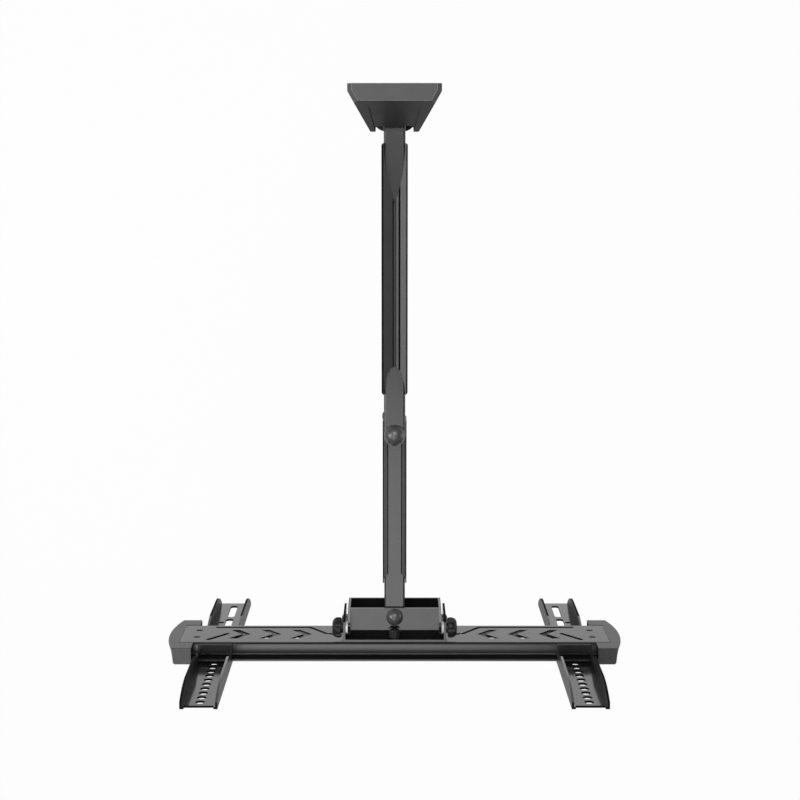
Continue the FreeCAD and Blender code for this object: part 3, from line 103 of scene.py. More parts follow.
# Where the weld beads stop and where painted shade and painted light begin on a piece, in metres
# from its box or its middle
WELD_INSET = 0.003
COVER_TIP_DEPTH = 0.012
COVER_TIP_OUT = 0.018
FIRST_COVER_RIMS = (-0.0128, 0.0135)
SECOND_COVER_RIMS = (-0.0126, 0.0134)
SECOND_COVER_LIP = 0.0054
HEAD_REAR = 0.012
HEAD_FLOOR = 0.004
HEAD_RIM = 0.0031
TILT_PLATE = 0.0032
TILT_EAR = 0.006
RAIL_FACE = 0.0021
RAIL_LIP = 0.0025
RAIL_END = 0.001
WEB = 0.0026
FLANGE = 0.004
BRACKET_TIP = 0.007
BRACKET_CURVE = 0.12
BRACKET_FOOT = 0.1
OUTER_RIM = 0.003

# Stage: lamp places, targets and widths, floor and camera, in metres
KEY_LAMP = ((-1.44, -0.33, 1.3), (0.0, -0.35, 0.0), 1.0)
TOP_LAMP = ((-0.45, -1.35, 2.9), (0.0, -0.75, 0.0), 1.6)
WALL_LAMP = ((0.0, 0.8, 2.4), (0.0, -0.3, 0.0), 1.4)
SIDE_LAMP = ((2.1, -0.45, 0.15), (0.0, -0.4, 0.0), 1.2)
FLOOR_HALF = 9.0
FLOOR_GLOW = 0.95
FLOOR_COLOUR = (0.82, 0.82, 0.82, 1.0)
CAMERA_PLACE = (0.0, -0.0848, 1.9358)
CAMERA_LEAN = -8.15
LENS_MM = 74.79
SENSOR_MM = 36.0
SHIFT_X = 0.00675


# Sizes and colours that a user would change


def length(name, description, default):
    """A distance property in metres."""
    return bpy.props.FloatProperty(
        name=name,
        description=description,
        default=default,
        min=0.0,
        precision=5,
        unit="LENGTH",
        subtype="DISTANCE",
    )


def share(name, description, default, top=1.0):
    """A plain number from nought up."""
    return bpy.props.FloatProperty(
        name=name, description=description, default=default, min=0.0, max=top, subtype="FACTOR"
    )


def power(name, description, default):
    """A lamp's power in watts."""
    return bpy.props.FloatProperty(
        name=name, description=description, default=default, min=0.0, unit="POWER"
    )


def paint(name, description, slot):
    """A colour property whose default is the record's colour for a finish."""
    return bpy.props.FloatVectorProperty(
        name=name,
        description=description,
        default=COLOUR_OF[slot],
        min=0.0,
        max=1.0,
        size=3,
        subtype="COLOR",
    )


class MountSizes(bpy.types.PropertyGroup):
    """Small sizes that only the looks have."""

    sheet_edge: length("Sheet edge", "Rounding left on cut sheet edges by the coating", 0.0003)
    mould_edge: length("Moulded edge", "Rounding of the moulded pieces' sharp edges", 0.0005)
    cover_edge: length("Wall cover edge", "Rounding of the wall cover's edges", 0.0008)
    paint_grain: length("Paint grain", "Size of the powder coat's ripples", 0.0011)
    mould_grain: length("Moulding grain", "Size of the spark-eroded grain on the plastic", 0.0006)
    bead_pitch: length("Weld bead pitch", "Step between the ripples of a weld", 0.0016)
    bead_width: length("Weld bead width", "Width of the weld along the pivot bracket", 0.0042)


class MountColours(bpy.types.PropertyGroup):
    """Colours of the finishes."""

    wall_steel: paint("Wall plate", "Powder coat of the plate and its pivot bracket", "wall_steel")
    arm_steel: paint("Arm tubes", "Powder coat of the two arm tubes", "arm_steel")
    head_steel: paint("Head", "Powder coat of the swivel and tilt brackets", "head_steel")
    rail_steel: paint("Rail", "Powder coat of the rail", "rail_steel")
    bracket_steel: paint("Upright brackets", "Powder coat of the upright brackets", "bracket_steel")
    cover_plastic: paint("Wall cover", "Moulded plastic of the wall cover", "cover_plastic")
    arm_cover_plastic: paint("Arm covers", "Moulded plastic of the arm covers", "arm_cover_plastic")
    end_cap_plastic: paint("End caps", "Moulded plastic of the rail's end caps", "end_cap_plastic")
    dome_plastic: paint("Dome caps", "Semi-gloss plastic of the dome caps", "dome_plastic")
    knob_plastic: paint("Knobs", "Moulded plastic of the knobs", "knob_plastic")
    guide_plastic: paint("Guides", "Moulded plastic of the rail guides", "guide_plastic")
    washer_nylon: paint("Nylon washers", "Nylon of the pivot washers", "washer_nylon")
    fastener_steel: paint("Zinc", "Zinc plate of the bolts and nuts", "fastener_steel")
    black_fastener: paint("Black oxide", "Blackened steel of the visible screws", "black_fastener")


class MountStage(bpy.types.PropertyGroup):
    """Camera, floor and lamps."""

    floor_drop: length("Floor drop", "How far the floor lies below the mount's origin", 0.85)
    backdrop: share("Backdrop", "How bright the floor and backdrop look", 1.0)
    sky: share("Sky", "Soft light from all round", 0.05, 4.0)
    mirrored: share("Mirrored backdrop", "How bright the backdrop looks in gloss", 0.15, 4.0)
    key: power("Key lamp", "Power of the lamp on the left", 25.0)
    top: power("Top lamp", "Power of the wide lamp overhead", 29.0)
    wall: power("Wall lamp", "Power of the lamp high over the wall", 42.0)
    side: power("Side lamp", "Power of the soft lamp on the right", 9.0)


# Node helpers


def link(nodes, source, output, target, socket):
    """Joins two nodes of one tree by socket names."""
    nodes.id_data.links.new(source.outputs[output], target.inputs[socket])


def new_material(name):
    """An empty material with its shader and output joined."""
    material = bpy.data.materials.new(name)
    material.use_nodes = True
    nodes = material.node_tree.nodes
    nodes.clear()
    shader = nodes.new("ShaderNodeBsdfPrincipled")
    output = nodes.new("ShaderNodeOutputMaterial")
    link(nodes, shader, "BSDF", output, "Surface")
    return material, nodes, shader


def noise(nodes, place, size, detail=2.0):
    """A noise texture whose features are about a given size across, in metres."""
    texture = nodes.new("ShaderNodeTexNoise")
    texture.inputs["Scale"].default_value = 1.0 / size
    texture.inputs["Detail"].default_value = detail
    link(nodes, place, "Object", texture, "Vector")
    return texture


def remap(nodes, source, output, low, high, to_low, to_high):
    """Spreads part of one range over another."""
    spread = nodes.new("ShaderNodeMapRange")
    spread.inputs["From Min"].default_value = low
    spread.inputs["From Max"].default_value = high
    spread.inputs["To Min"].default_value = to_low
    spread.inputs["To Max"].default_value = to_high
    link(nodes, source, output, spread, "Value")
    return spread


def edge_mask(nodes, reach):
    """White along outer and inner edges, from how a rounded normal leaves the true one."""
    rounded = nodes.new("ShaderNodeBevel")
    rounded.samples = 4
    rounded.inputs["Radius"].default_value = reach
    true = nodes.new("ShaderNodeNewGeometry")
    turn = nodes.new("ShaderNodeVectorMath")
    turn.operation = "DOT_PRODUCT"
    link(nodes, rounded, "Normal", turn, 0)
    link(nodes, true, "Normal", turn, 1)
    return remap(nodes, turn, "Value", 0.995, 0.90, 0.0, 1.0)


def mixed_colour(nodes, colour, other, factor, output):
    """Blends between two set colours by a factor."""
    mix = nodes.new("ShaderNodeMix")
    mix.data_type = "RGBA"
    mix.inputs["A"].default_value = (*colour, 1.0)
    mix.inputs["B"].default_value = (*other, 1.0)
    link(nodes, factor, output, mix, "Factor")
    return mix


def worn_and_highlit_edges(nodes, body, colour, paler, reach):
    """Paler edges over a body colour: partly wear, partly a painted highlight."""
    edges = edge_mask(nodes, reach)
    mix = nodes.new("ShaderNodeMix")
    mix.data_type = "RGBA"
    mix.inputs["B"].default_value = (*toned(colour, paler), 1.0)
    link(nodes, edges, "Result", mix, "Factor")
    link(nodes, body, "Result", mix, "A")
    return mix


def toned(colour, by):
    """A colour made lighter or darker."""
    return tuple(min(1.0, c * by) for c in colour)


def ripple(nodes, shader, texture, output, strength, depth):
    """Bumps a surface by a texture, to a depth in metres."""
    bump = nodes.new("ShaderNodeBump")
    bump.inputs["Strength"].default_value = strength
    bump.inputs["Distance"].default_value = depth
    link(nodes, texture, output, bump, "Height")
    link(nodes, bump, "Normal", shader, "Normal")


# Finishes, each made once and kept by name

FINISHES = {}


def powder_coat(slot, sizes, colours):
    """Satin powder coat: fine ripples, slight cloudiness, and paler edges, partly thinner paint and
    partly a painted highlight.
    """
    colour = tuple(getattr(colours, slot))
    material, nodes, shader = new_material("powder_coat_" + slot)
    place = nodes.new("ShaderNodeTexCoord")
    cloud = noise(nodes, place, 0.045, 3.0)
    spread = remap(nodes, cloud, "Fac", 0.35, 0.65, 0.0, 1.0)
    body = mixed_colour(nodes, toned(colour, 0.93), toned(colour, 1.07), spread, "Result")
    # Paler edges: partly wear, partly a painted highlight.
    coat_wear_and_highlight = worn_and_highlit_edges(nodes, body, colour, COAT_EDGE_WEAR_AND_HIGHLIGHT, 0.0007)
    link(nodes, coat_wear_and_highlight, "Result", shader, "Base Color")
    grain = noise(nodes, place, sizes.paint_grain, 2.0)
    fine = BRACKET_GLOSS if slot == "bracket_steel" else COAT_GLOSS
    gloss = remap(nodes, grain, "Fac", 0.3, 0.7, fine, fine + COAT_SPREAD)
    link(nodes, gloss, "Result", shader, "Roughness")
    ripple(nodes, shader, grain, "Fac", 0.2, 0.00002)
    shader.inputs["Specular IOR Level"].default_value = 0.5
    return material


def moulded_plastic(slot, sizes, colours):
    """Moulded plastic with a spark-eroded grain and faint flow marks."""
    roughness, grain_strength, shine, paler = MOULDED.get(slot, OTHER_MOULDED)
    colour = tuple(getattr(colours, slot))
    material, nodes, shader = new_material("moulded_" + slot)
    place = nodes.new("ShaderNodeTexCoord")
    flow = noise(nodes, place, 0.03, 2.0)
    spread = remap(nodes, flow, "Fac", 0.3, 0.7, 0.0, 1.0)
    body = mixed_colour(nodes, toned(colour, 0.92), toned(colour, 1.08), spread, "Result")
    # Paler edges: partly wear, partly a painted highlight.
    edge_wear_and_highlight = worn_and_highlit_edges(nodes, body, colour, paler, 0.0009)
    link(nodes, edge_wear_and_highlight, "Result", shader, "Base Color")
    grain = noise(nodes, place, sizes.mould_grain, 3.0)
    gloss = remap(nodes, grain, "Fac", 0.3, 0.7, roughness - 0.05, roughness + 0.05)
    link(nodes, gloss, "Result", shader, "Roughness")
    ripple(nodes, shader, grain, "Fac", grain_strength, 0.00003)
    shader.inputs["Specular IOR Level"].default_value = shine
    return material


def zinc_plate(colours):
    """Bright zinc with a fine directional grain and cloudy passivation."""
    colour = tuple(colours.fastener_steel)
    material, nodes, shader = new_material("zinc_plate")
    place = nodes.new("ShaderNodeTexCoord")
    cloud = noise(nodes, place, 0.006, 3.0)
    spread = remap(nodes, cloud, "Fac", 0.3, 0.7, 0.0, 1.0)
    body = mixed_colour(nodes, toned(colour, 0.85), toned(colour, 1.12), spread, "Result")
    link(nodes, body, "Result", shader, "Base Color")
    grain = noise(nodes, place, 0.0005, 2.0)
    gloss = remap(nodes, grain, "Fac", 0.3, 0.7, 0.28, 0.42)
    link(nodes, gloss, "Result", shader, "Roughness")
    ripple(nodes, shader, grain, "Fac", 0.2, 0.00001)
    shader.inputs["Metallic"].default_value = 1.0
    return material


def black_oxide(colours):
    """Blackened steel with an oily sheen and rubbed edges."""
    colour = tuple(colours.black_fastener)
    material, nodes, shader = new_material("black_oxide")
    place = nodes.new("ShaderNodeTexCoord")
    edges = edge_mask(nodes, 0.0005)
    body = mixed_colour(nodes, colour, toned(colour, 3.0), edges, "Result")
    link(nodes, body, "Result", shader, "Base Color")
    grain = noise(nodes, place, 0.0008, 2.0)
    gloss = remap(nodes, grain, "Fac", 0.3, 0.7, 0.25, 0.4)
    link(nodes, gloss, "Result", shader, "Roughness")
    ripple(nodes, shader, grain, "Fac", 0.15, 0.00001)
    shader.inputs["Metallic"].default_value = 0.6
    return material


def nylon(colours):
    """Off-white nylon with a waxy sheen and a machined ripple."""
    colour = tuple(colours.washer_nylon)
    material, nodes, shader = new_material("nylon")
    place = nodes.new("ShaderNodeTexCoord")
    cloud = noise(nodes, place, 0.008, 2.0)
    spread = remap(nodes, cloud, "Fac", 0.3, 0.7, 0.0, 1.0)
    body = mixed_colour(nodes, toned(colour, 0.94), toned(colour, 1.04), spread, "Result")
    link(nodes, body, "Result", shader, "Base Color")
    grain = noise(nodes, place, 0.0007, 2.0)
    gloss = remap(nodes, grain, "Fac", 0.3, 0.7, 0.38, 0.5)
    link(nodes, gloss, "Result", shader, "Roughness")
    ripple(nodes, shader, grain, "Fac", 0.15, 0.00002)
    shader.inputs["Subsurface Weight"].default_value = 0.1
    shader.inputs["Subsurface Scale"].default_value = 0.001
    shader.inputs["Subsurface Radius"].default_value = (1.0, 0.95, 0.9)
    return material


def painted_light_copy(slot, tone, shine):
    """A copy of a finish, toned and duller, made once: painted shade on the wall cover's slope and
    painted light on the bracket flanks.
    """
    name = "dull_" + slot
    if name in FINISHES:
        return FINISHES[name]
    material, nodes, shader = new_material(name)
    place = nodes.new("ShaderNodeTexCoord")
    cloud = noise(nodes, place, 0.03, 3.0)
    colour = toned(tuple(getattr(bpy.context.scene.mount_colours, slot)), tone)
    body = mixed_colour(nodes, toned(colour, 0.8), toned(colour, 1.2), cloud, "Fac")
    link(nodes, body, "Result", shader, "Base Color")
    grain = noise(nodes, place, bpy.context.scene.mount_sizes.paint_grain, 2.0)
    gloss = remap(nodes, grain, "Fac", 0.3, 0.7, 0.42, 0.52)
    link(nodes, gloss, "Result", shader, "Roughness")
    ripple(nodes, shader, grain, "Fac", 0.3, 0.00003)
    shader.inputs["Specular IOR Level"].default_value = shine
    FINISHES[name] = material
    return material


def cut_edge():
    """Near-black painted shade for cut walls, rims and the insides of pockets, made once."""
    if "cut_edge" in FINISHES:
        return FINISHES["cut_edge"]
    material, nodes, shader = new_material("cut_edge")
    place = nodes.new("ShaderNodeTexCoord")
    grain = noise(nodes, place, 0.0006, 3.0)
    # Painted shade: near black, whatever light reaches these faces.
    body = mixed_colour(nodes, (0.002, 0.002, 0.002), (0.006, 0.006, 0.006), grain, "Fac")
    link(nodes, body, "Result", shader, "Base Color")
    gloss = remap(nodes, grain, "Fac", 0.3, 0.7, 0.7, 0.9)
    link(nodes, gloss, "Result", shader, "Roughness")
    ripple(nodes, shader, grain, "Fac", 0.3, 0.00003)
    shader.inputs["Specular IOR Level"].default_value = 0.08
    FINISHES["cut_edge"] = material
    return material


def finish_for(slot):
    """The material for one of the record's finishes, made once."""
    if slot in FINISHES:
        return FINISHES[slot]
    sizes = bpy.context.scene.mount_sizes
    colours = bpy.context.scene.mount_colours
    if slot == "fastener_steel":
        material = zinc_plate(colours)
    elif slot.endswith("_steel"):
        material = powder_coat(slot, sizes, colours)
    elif slot == "black_fastener":
        material = black_oxide(colours)
    elif slot == "washer_nylon":
        material = nylon(colours)
    else:
        material = moulded_plastic(slot, sizes, colours)
    FINISHES[slot] = material
    return material


# Mesh helpers


def coat(node):
    """Gives a carried-over piece its finish."""
    piece = frame["nodes"][node]
    piece.data.materials.clear()
    piece.data.materials.append(finish_for(SLOT_OF[node]))
    piece.data.update()


def joined_up(node):
    """A copy of a carried-over piece's mesh, merged and with its flat faces made whole."""
    mesh = bmesh.new()
    mesh.from_mesh(frame["nodes"][node].data)
    bmesh.ops.remove_doubles(mesh, verts=mesh.verts, dist=MERGE)
    flat = math.radians(FLAT_ANGLE)
    bmesh.ops.dissolve_limit(
        mesh, angle_limit=flat, verts=mesh.verts, edges=mesh.edges, delimit={"NORMAL"}
    )
    return mesh


def take_place(piece, node):
    """Makes a piece stand for a carried-over one: hides that one and gives the piece its body."""
    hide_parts(node)
    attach(piece, BODY_OF[node])
    return piece


def softened(node, name, width, scores=()):
    """A copy of a carried-over piece with its sharp edges rounded over, in its place.

    Its flat faces are scored along each given x, so that painted shade can stop there.
    """
    mesh = joined_up(node)
    for x in scores:
        parts = mesh.verts[:] + mesh.edges[:] + mesh.faces[:]
        bmesh.ops.bisect_plane(mesh, geom=parts, plane_co=(x, 0.0, 0.0), plane_no=(1.0, 0.0, 0.0))
    data = bpy.data.meshes.new(name)
    mesh.to_mesh(data)
    mesh.free()
    piece = bpy.data.objects.new(name, data)
    bpy.context.scene.collection.objects.link(piece)
    data.materials.append(finish_for(SLOT_OF[node]))
    bevel = piece.modifiers.new("soft_edges", "BEVEL")
    bevel.width = width
    bevel.segments = BEVEL_STEPS
    bevel.limit_method = "ANGLE"
    bevel.angle_limit = math.radians(BEVEL_ANGLE)
    bevel.use_clamp_overlap = True
    bevel.harden_normals = False
    baked(piece)
    smooth_by_angle(piece.data, SHARP_ANGLE)
    evened = piece.modifiers.new("flat_faces", "WEIGHTED_NORMAL")
    evened.mode = "FACE_AREA"
    evened.keep_sharp = True
    baked(piece)
    return take_place(piece, node)


def refinish(piece, material, chosen):
    """Gives some faces of a piece, chosen by place and facing, another material: here it lays
    painted shade and painted light.
    """
    piece.data.materials.append(material)
    index = len(piece.data.materials) - 1
    for face in piece.data.polygons:
        if chosen(face.center, face.normal):
            face.material_index = index
    piece.data.update()


def baked(piece):
    """Turns a piece's live modifiers into its plain mesh."""
    graph = bpy.context.evaluated_depsgraph_get()
    plain = bpy.data.meshes.new_from_object(piece.evaluated_get(graph))
    old = piece.data
    piece.modifiers.clear()
    piece.data = plain
    plain.name = piece.name
    if old.users == 0:
        bpy.data.meshes.remove(old)


def smooth_by_angle(data, degrees):
    """Smooth shading that stops at edges sharper than an angle."""
    data.polygons.foreach_set("use_smooth", [True] * len(data.polygons))
    data.set_sharp_from_angle(angle=math.radians(degrees))
    data.update()


# Repeated details


def tree_inputs(tree, sockets):
    """Adds named inputs to a node tree and gives back their identifiers by name."""
    names = {}
    for name, kind in sockets:
        socket = tree.interface.new_socket(name, in_out="INPUT", socket_type=kind)
        names[name] = socket.identifier
    tree.interface.new_socket("Geometry", in_out="OUTPUT", socket_type="NodeSocketGeometry")
    return names


def bead_tree():
    """Lays overlapping weld ripples along the edges of the mesh it is given."""
    tree = bpy.data.node_groups.new("weld_ripples", "GeometryNodeTree")
    names = tree_inputs(
        tree,
        (
            ("Geometry", "NodeSocketGeometry"),
            ("Pitch", "NodeSocketFloat"),
            ("Width", "NodeSocketFloat"),
            ("Finish", "NodeSocketMaterial"),
        ),
    )
    nodes = tree.nodes
    given = nodes.new("NodeGroupInput")
    path = nodes.new("GeometryNodeMeshToCurve")
    steps = nodes.new("GeometryNodeResampleCurve")
    steps.mode = "LENGTH"
    half = nodes.new("ShaderNodeMath")
    half.operation = "MULTIPLY"
    half.inputs[1].default_value = 0.5
    drop = nodes.new("GeometryNodeMeshUVSphere")
    drop.inputs["Segments"].default_value = 12
    drop.inputs["Rings"].default_value = 8
    vary = nodes.new("FunctionNodeRandomValue")
    vary.data_type = "FLOAT"
    vary.inputs[2].default_value = 0.9
    vary.inputs[3].default_value = 1.08
    vary.inputs["Seed"].default_value = 4
    laid = nodes.new("GeometryNodeInstanceOnPoints")
    whole = nodes.new("GeometryNodeRealizeInstances")
    smooth = nodes.new("GeometryNodeSetShadeSmooth")
    finish = nodes.new("GeometryNodeSetMaterial")
    result = nodes.new("NodeGroupOutput")
    link(nodes, given, "Geometry", path, "Mesh")
    link(nodes, path, "Curve", steps, "Curve")
    link(nodes, given, "Pitch", steps, "Length")
    link(nodes, given, "Width", half, 0)
    link(nodes, half, "Value", drop, "Radius")
    link(nodes, steps, "Curve", laid, "Points")
    link(nodes, drop, "Mesh", laid, "Instance")
    tree.links.new(vary.outputs[1], laid.inputs["Scale"])
    link(nodes, laid, "Instances", smooth, "Geometry")
    link(nodes, smooth, "Geometry", whole, "Geometry")
    link(nodes, whole, "Geometry", finish, "Geometry")
    link(nodes, given, "Finish", finish, "Material")
    link(nodes, finish, "Geometry", result, "Geometry")
    return tree, names


def weld_beads(name, lines, body, slot, sizes):
    """Weld ripples along straight lines, as one mesh that rides on a body."""
    data = bpy.data.meshes.new(name + "_lines")
    points = [point for line in lines for point in line]
    data.from_pydata(points, [(2 * i, 2 * i + 1) for i in range(len(lines))], [])
    piece = bpy.data.objects.new(name, data)
    bpy.context.scene.collection.objects.link(piece)
    tree, names = bead_tree()
    laid = piece.modifiers.new("ripples", "NODES")
    laid.node_group = tree
    laid[names["Pitch"]] = sizes.bead_pitch
    laid[names["Width"]] = sizes.bead_width
    laid[names["Finish"]] = finish_for(slot)
    baked(piece)
    if not piece.data.polygons:
        raise RuntimeError(name + " came out empty")
    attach(piece, body)
    return piece


# Operators, one for each piece or group of like pieces


class DressWallPlate(bpy.types.Operator):
    """Coats the wall plate and its welded pivot bracket"""

    bl_idname = "mount.dress_wall_plate"
    bl_label = "Wall plate"

    def execute(self, context):
        sizes = context.scene.mount_sizes
        softened("wall_plate", "coated_wall_plate", sizes.sheet_edge)
        softened("wall_pivot_bracket", "coated_pivot_bracket", sizes.sheet_edge)
        return {"FINISHED"}


class LayWeldBeads(bpy.types.Operator):
    """Lays the weld beads between the wall plate and its pivot bracket"""

    bl_idname = "mount.lay_weld_beads"
    bl_label = "Weld beads"

    def execute(self, context):
        plate_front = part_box("wall_plate")[0][1]
        low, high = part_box("wall_pivot_bracket")
        lines = []
        for z in (low[2], high[2]):
            start = (low[0] + WELD_INSET, plate_front, z)
            lines.append((start, (high[0] - WELD_INSET, plate_front, z)))
        weld_beads("pivot_weld_beads", lines, "wall_base", "wall_steel", context.scene.mount_sizes)
        return {"FINISHED"}


class DressWallCover(bpy.types.Operator):
    """Gives the wall cover its moulded finish, with painted shade on its slope, flanks and tip"""

    bl_idname = "mount.dress_wall_cover"
    bl_label = "Wall cover"

    def execute(self, context):
        cover = softened("wall_cover", "moulded_wall_cover", context.scene.mount_sizes.cover_edge)
        # Painted shade: the slope facing away from the wall gets a darker copy of the plastic.
        slope = painted_light_copy("cover_plastic", *SLOPE_SHADE)
        refinish(cover, slope, lambda at, facing: facing.y < -0.45)
        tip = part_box("wall_cover")[0][1] + COVER_TIP_DEPTH

        def side(at, facing):
            flank = abs(facing.x) > 0.8 and facing.y < -0.4
            return flank or (at.y < tip and abs(at.x) > COVER_TIP_OUT)

        # Painted shade: the flanks and the tip are made near black.
        refinish(cover, cut_edge(), side)
        return {"FINISHED"}


class DressFasteners(bpy.types.Operator):
    """Finishes the bolts, nuts, washers and sleeves"""

    bl_idname = "mount.dress_fasteners"
    bl_label = "Fasteners"

    def execute(self, context):
        kinds = ("fastener_steel", "washer_nylon", "black_fastener")
        for node, slot in SLOT_OF.items():
            if slot in kinds:
                coat(node)
        return {"FINISHED"}


class DressArms(bpy.types.Operator):
    """Coats the two arm tubes"""

    bl_idname = "mount.dress_arms"
    bl_label = "Arm tubes"

    def execute(self, context):
        sizes = context.scene.mount_sizes
        softened("arm_1_tube", "coated_first_tube", sizes.sheet_edge)
        softened("arm_2_tube", "coated_second_tube", sizes.sheet_edge)
        return {"FINISHED"}


class DressArmCovers(bpy.types.Operator):
    """Gives the arm covers their moulded finish, with painted shade along their rims and lips"""

    bl_idname = "mount.dress_arm_covers"
    bl_label = "Arm covers"

    def execute(self, context):
        sizes = context.scene.mount_sizes
        left, right = FIRST_COVER_RIMS
        cover = softened("arm_1_cover", "moulded_first_cover", sizes.mould_edge, (left, right))

        def rim(at, facing):
            return abs(facing.x) > 0.6 or at.x < left or at.x > right

        # Painted shade: the first cover's side walls and outer rims are made near black.
        refinish(cover, cut_edge(), rim)
        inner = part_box("arm_2_cover")[1][0] - SECOND_COVER_LIP
        left, right = SECOND_COVER_RIMS
        scores = (left, -inner, inner, right)
        cover = softened("arm_2_cover", "moulded_second_cover", sizes.mould_edge, scores)

        def lip(at, facing):
            return facing.z > 0.3 and (abs(at.x) < inner or at.x < left or at.x > right)

        # Painted shade: the second cover's upward faces in its middle channel and beyond its rims
        # are made near black.
        refinish(cover, cut_edge(), lip)
        return {"FINISHED"}


class DressDomeCaps(bpy.types.Operator):
    """Gives the dome caps their semi-gloss finish"""

    bl_idname = "mount.dress_dome_caps"
    bl_label = "Dome caps"

    def execute(self, context):
        for node in ("elbow_cap", "elbow_lower_cap", "swivel_cap", "swivel_lower_cap"):
            coat(node)
        return {"FINISHED"}


class DressHead(bpy.types.Operator):
    """Coats the swivel bracket and the tilt bracket, with painted shade inside them"""

    bl_idname = "mount.dress_head"
    bl_label = "Head brackets"

    def execute(self, context):
        sizes = context.scene.mount_sizes
        swivel = softened("swivel_bracket", "coated_swivel_bracket", sizes.sheet_edge)
        low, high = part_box("swivel_bracket")
        rear = low[1] + HEAD_REAR
        floor = low[2] + HEAD_FLOOR

        def inside(at, facing):
            rim = facing.z > 0.9 and abs(at.x) > high[0] - HEAD_RIM
            return rim or (facing.y > 0.9 and at.y < rear) or (facing.z > 0.9 and at.z < floor)

        # Painted shade: the swivel bracket's rim tops, rear wall-facing faces and floor are made
        # near black.
        refinish(swivel, cut_edge(), inside)
        tilt = softened("tilt_bracket", "coated_tilt_bracket", sizes.sheet_edge)
        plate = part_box("tilt_bracket")[0][1] + TILT_PLATE
        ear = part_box("tilt_bracket")[1][1] - TILT_EAR

        def shaded(at, facing):
            return (facing.y > 0.9 and at.y < plate) or (at.y > ear and abs(facing.x) < 0.7)

        # Painted shade: the tilt plate's wall-facing face and the wall-side ends of its ears are
        # made near black.
        refinish(tilt, cut_edge(), shaded)
        return {"FINISHED"}


class DressKnobs(bpy.types.Operator):
    """Finishes the tilt knobs and the level knob"""

    bl_idname = "mount.dress_knobs"
    bl_label = "Knobs"

    def execute(self, context):
        sizes = context.scene.mount_sizes
        for node in ("tilt_knob_left", "tilt_knob_right", "level_knob"):
            softened(node, "moulded_" + node, sizes.mould_edge)
        return {"FINISHED"}


class DressRail(bpy.types.Operator):
    """Coats the rail, with painted shade in its cuts and on its lip, and finishes its end caps"""

    bl_idname = "mount.dress_rail"
    bl_label = "Rail"

    def execute(self, context):
        sizes = context.scene.mount_sizes
        rail = softened("rail", "coated_rail", sizes.sheet_edge)
        low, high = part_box("rail")
        face = high[1] - RAIL_FACE
        lip = low[1] + RAIL_LIP
        ends = high[0] - RAIL_END

        def dark(at, facing):
            cut = abs(facing.y) < 0.5 and at.y > face and abs(at.x) < ends
            return cut or (facing.y > 0.9 and at.y < lip)

        # Painted shade: the walls of the cuts through the face and the lip's wall-facing face are
        # made near black.
        refinish(rail, cut_edge(), dark)
        for side in ("left", "right"):
            softened("rail_cap_" + side, "moulded_rail_cap_" + side, sizes.mould_edge)
        return {"FINISHED"}


class DressBrackets(bpy.types.Operator):
    """Coats the upright brackets, with painted light on their flanks and painted shade in cuts, ends
    and rims, and finishes their guides and clips
    """

    bl_idname = "mount.dress_brackets"
    bl_label = "Upright brackets"

    def execute(self, context):
        sizes = context.scene.mount_sizes
        for side in ("left", "right"):
            bracket = softened("tv_bracket_" + side, "coated_tv_bracket_" + side, sizes.sheet_edge)
            low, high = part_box("tv_bracket_" + side)
            web = low[1] + WEB
            left, right = low[0] + FLANGE, high[0] - FLANGE
            tip = high[2] - BRACKET_TIP
            outer = low[0] if side == "left" else high[0]
            curve = high[2] - BRACKET_CURVE
            foot = low[2] + BRACKET_FOOT

            def flank(at, facing):
                return abs(facing.x) > 0.8 and not (at.y < web and left < at.x < right)

            def dark(at, facing):
                cut = abs(facing.y) < 0.5 and at.y < web and left < at.x < right
                end = facing.z > 0.7 and at.z > tip
                rim = facing.y > 0.3 and not left < at.x < right
                shaded = at.z < foot or (abs(at.x - outer) < OUTER_RIM and at.z > curve)
                return cut or end or (rim and shaded)

            # Painted light: the flanks get a lighter, duller copy of the coat.
            refinish(bracket, painted_light_copy("bracket_steel", *FLANK_LIGHT), flank)
            # Painted shade: the walls of the web's cuts, the top ends and the outer rims low down
            # and along the curve are made near black.
            refinish(bracket, cut_edge(), dark)
            softened("hook_guide_" + side, "moulded_hook_guide_" + side, sizes.mould_edge)
            softened("lower_clip_" + side, "moulded_lower_clip_" + side, sizes.mould_edge)
        return {"FINISHED"}


class SetStage(bpy.types.Operator):
    """Sets the floor, the lamps, the world and the camera"""

    bl_idname = "mount.set_stage"
    bl_label = "Stage"

    def execute(self, context):
        stage = context.scene.mount_stage
        scene = context.scene
        scene.view_settings.view_transform = "Standard"
        scene.collection.objects.link(floor_sheet(stage))
        set_world(scene, stage)
        lamp(scene, "key_lamp", *KEY_LAMP, stage.key)
        lamp(scene, "top_lamp", *TOP_LAMP, stage.top)
        lamp(scene, "wall_lamp", *WALL_LAMP, stage.wall)
        lamp(scene, "side_lamp", *SIDE_LAMP, stage.side)
        set_camera(scene)
        return {"FINISHED"}


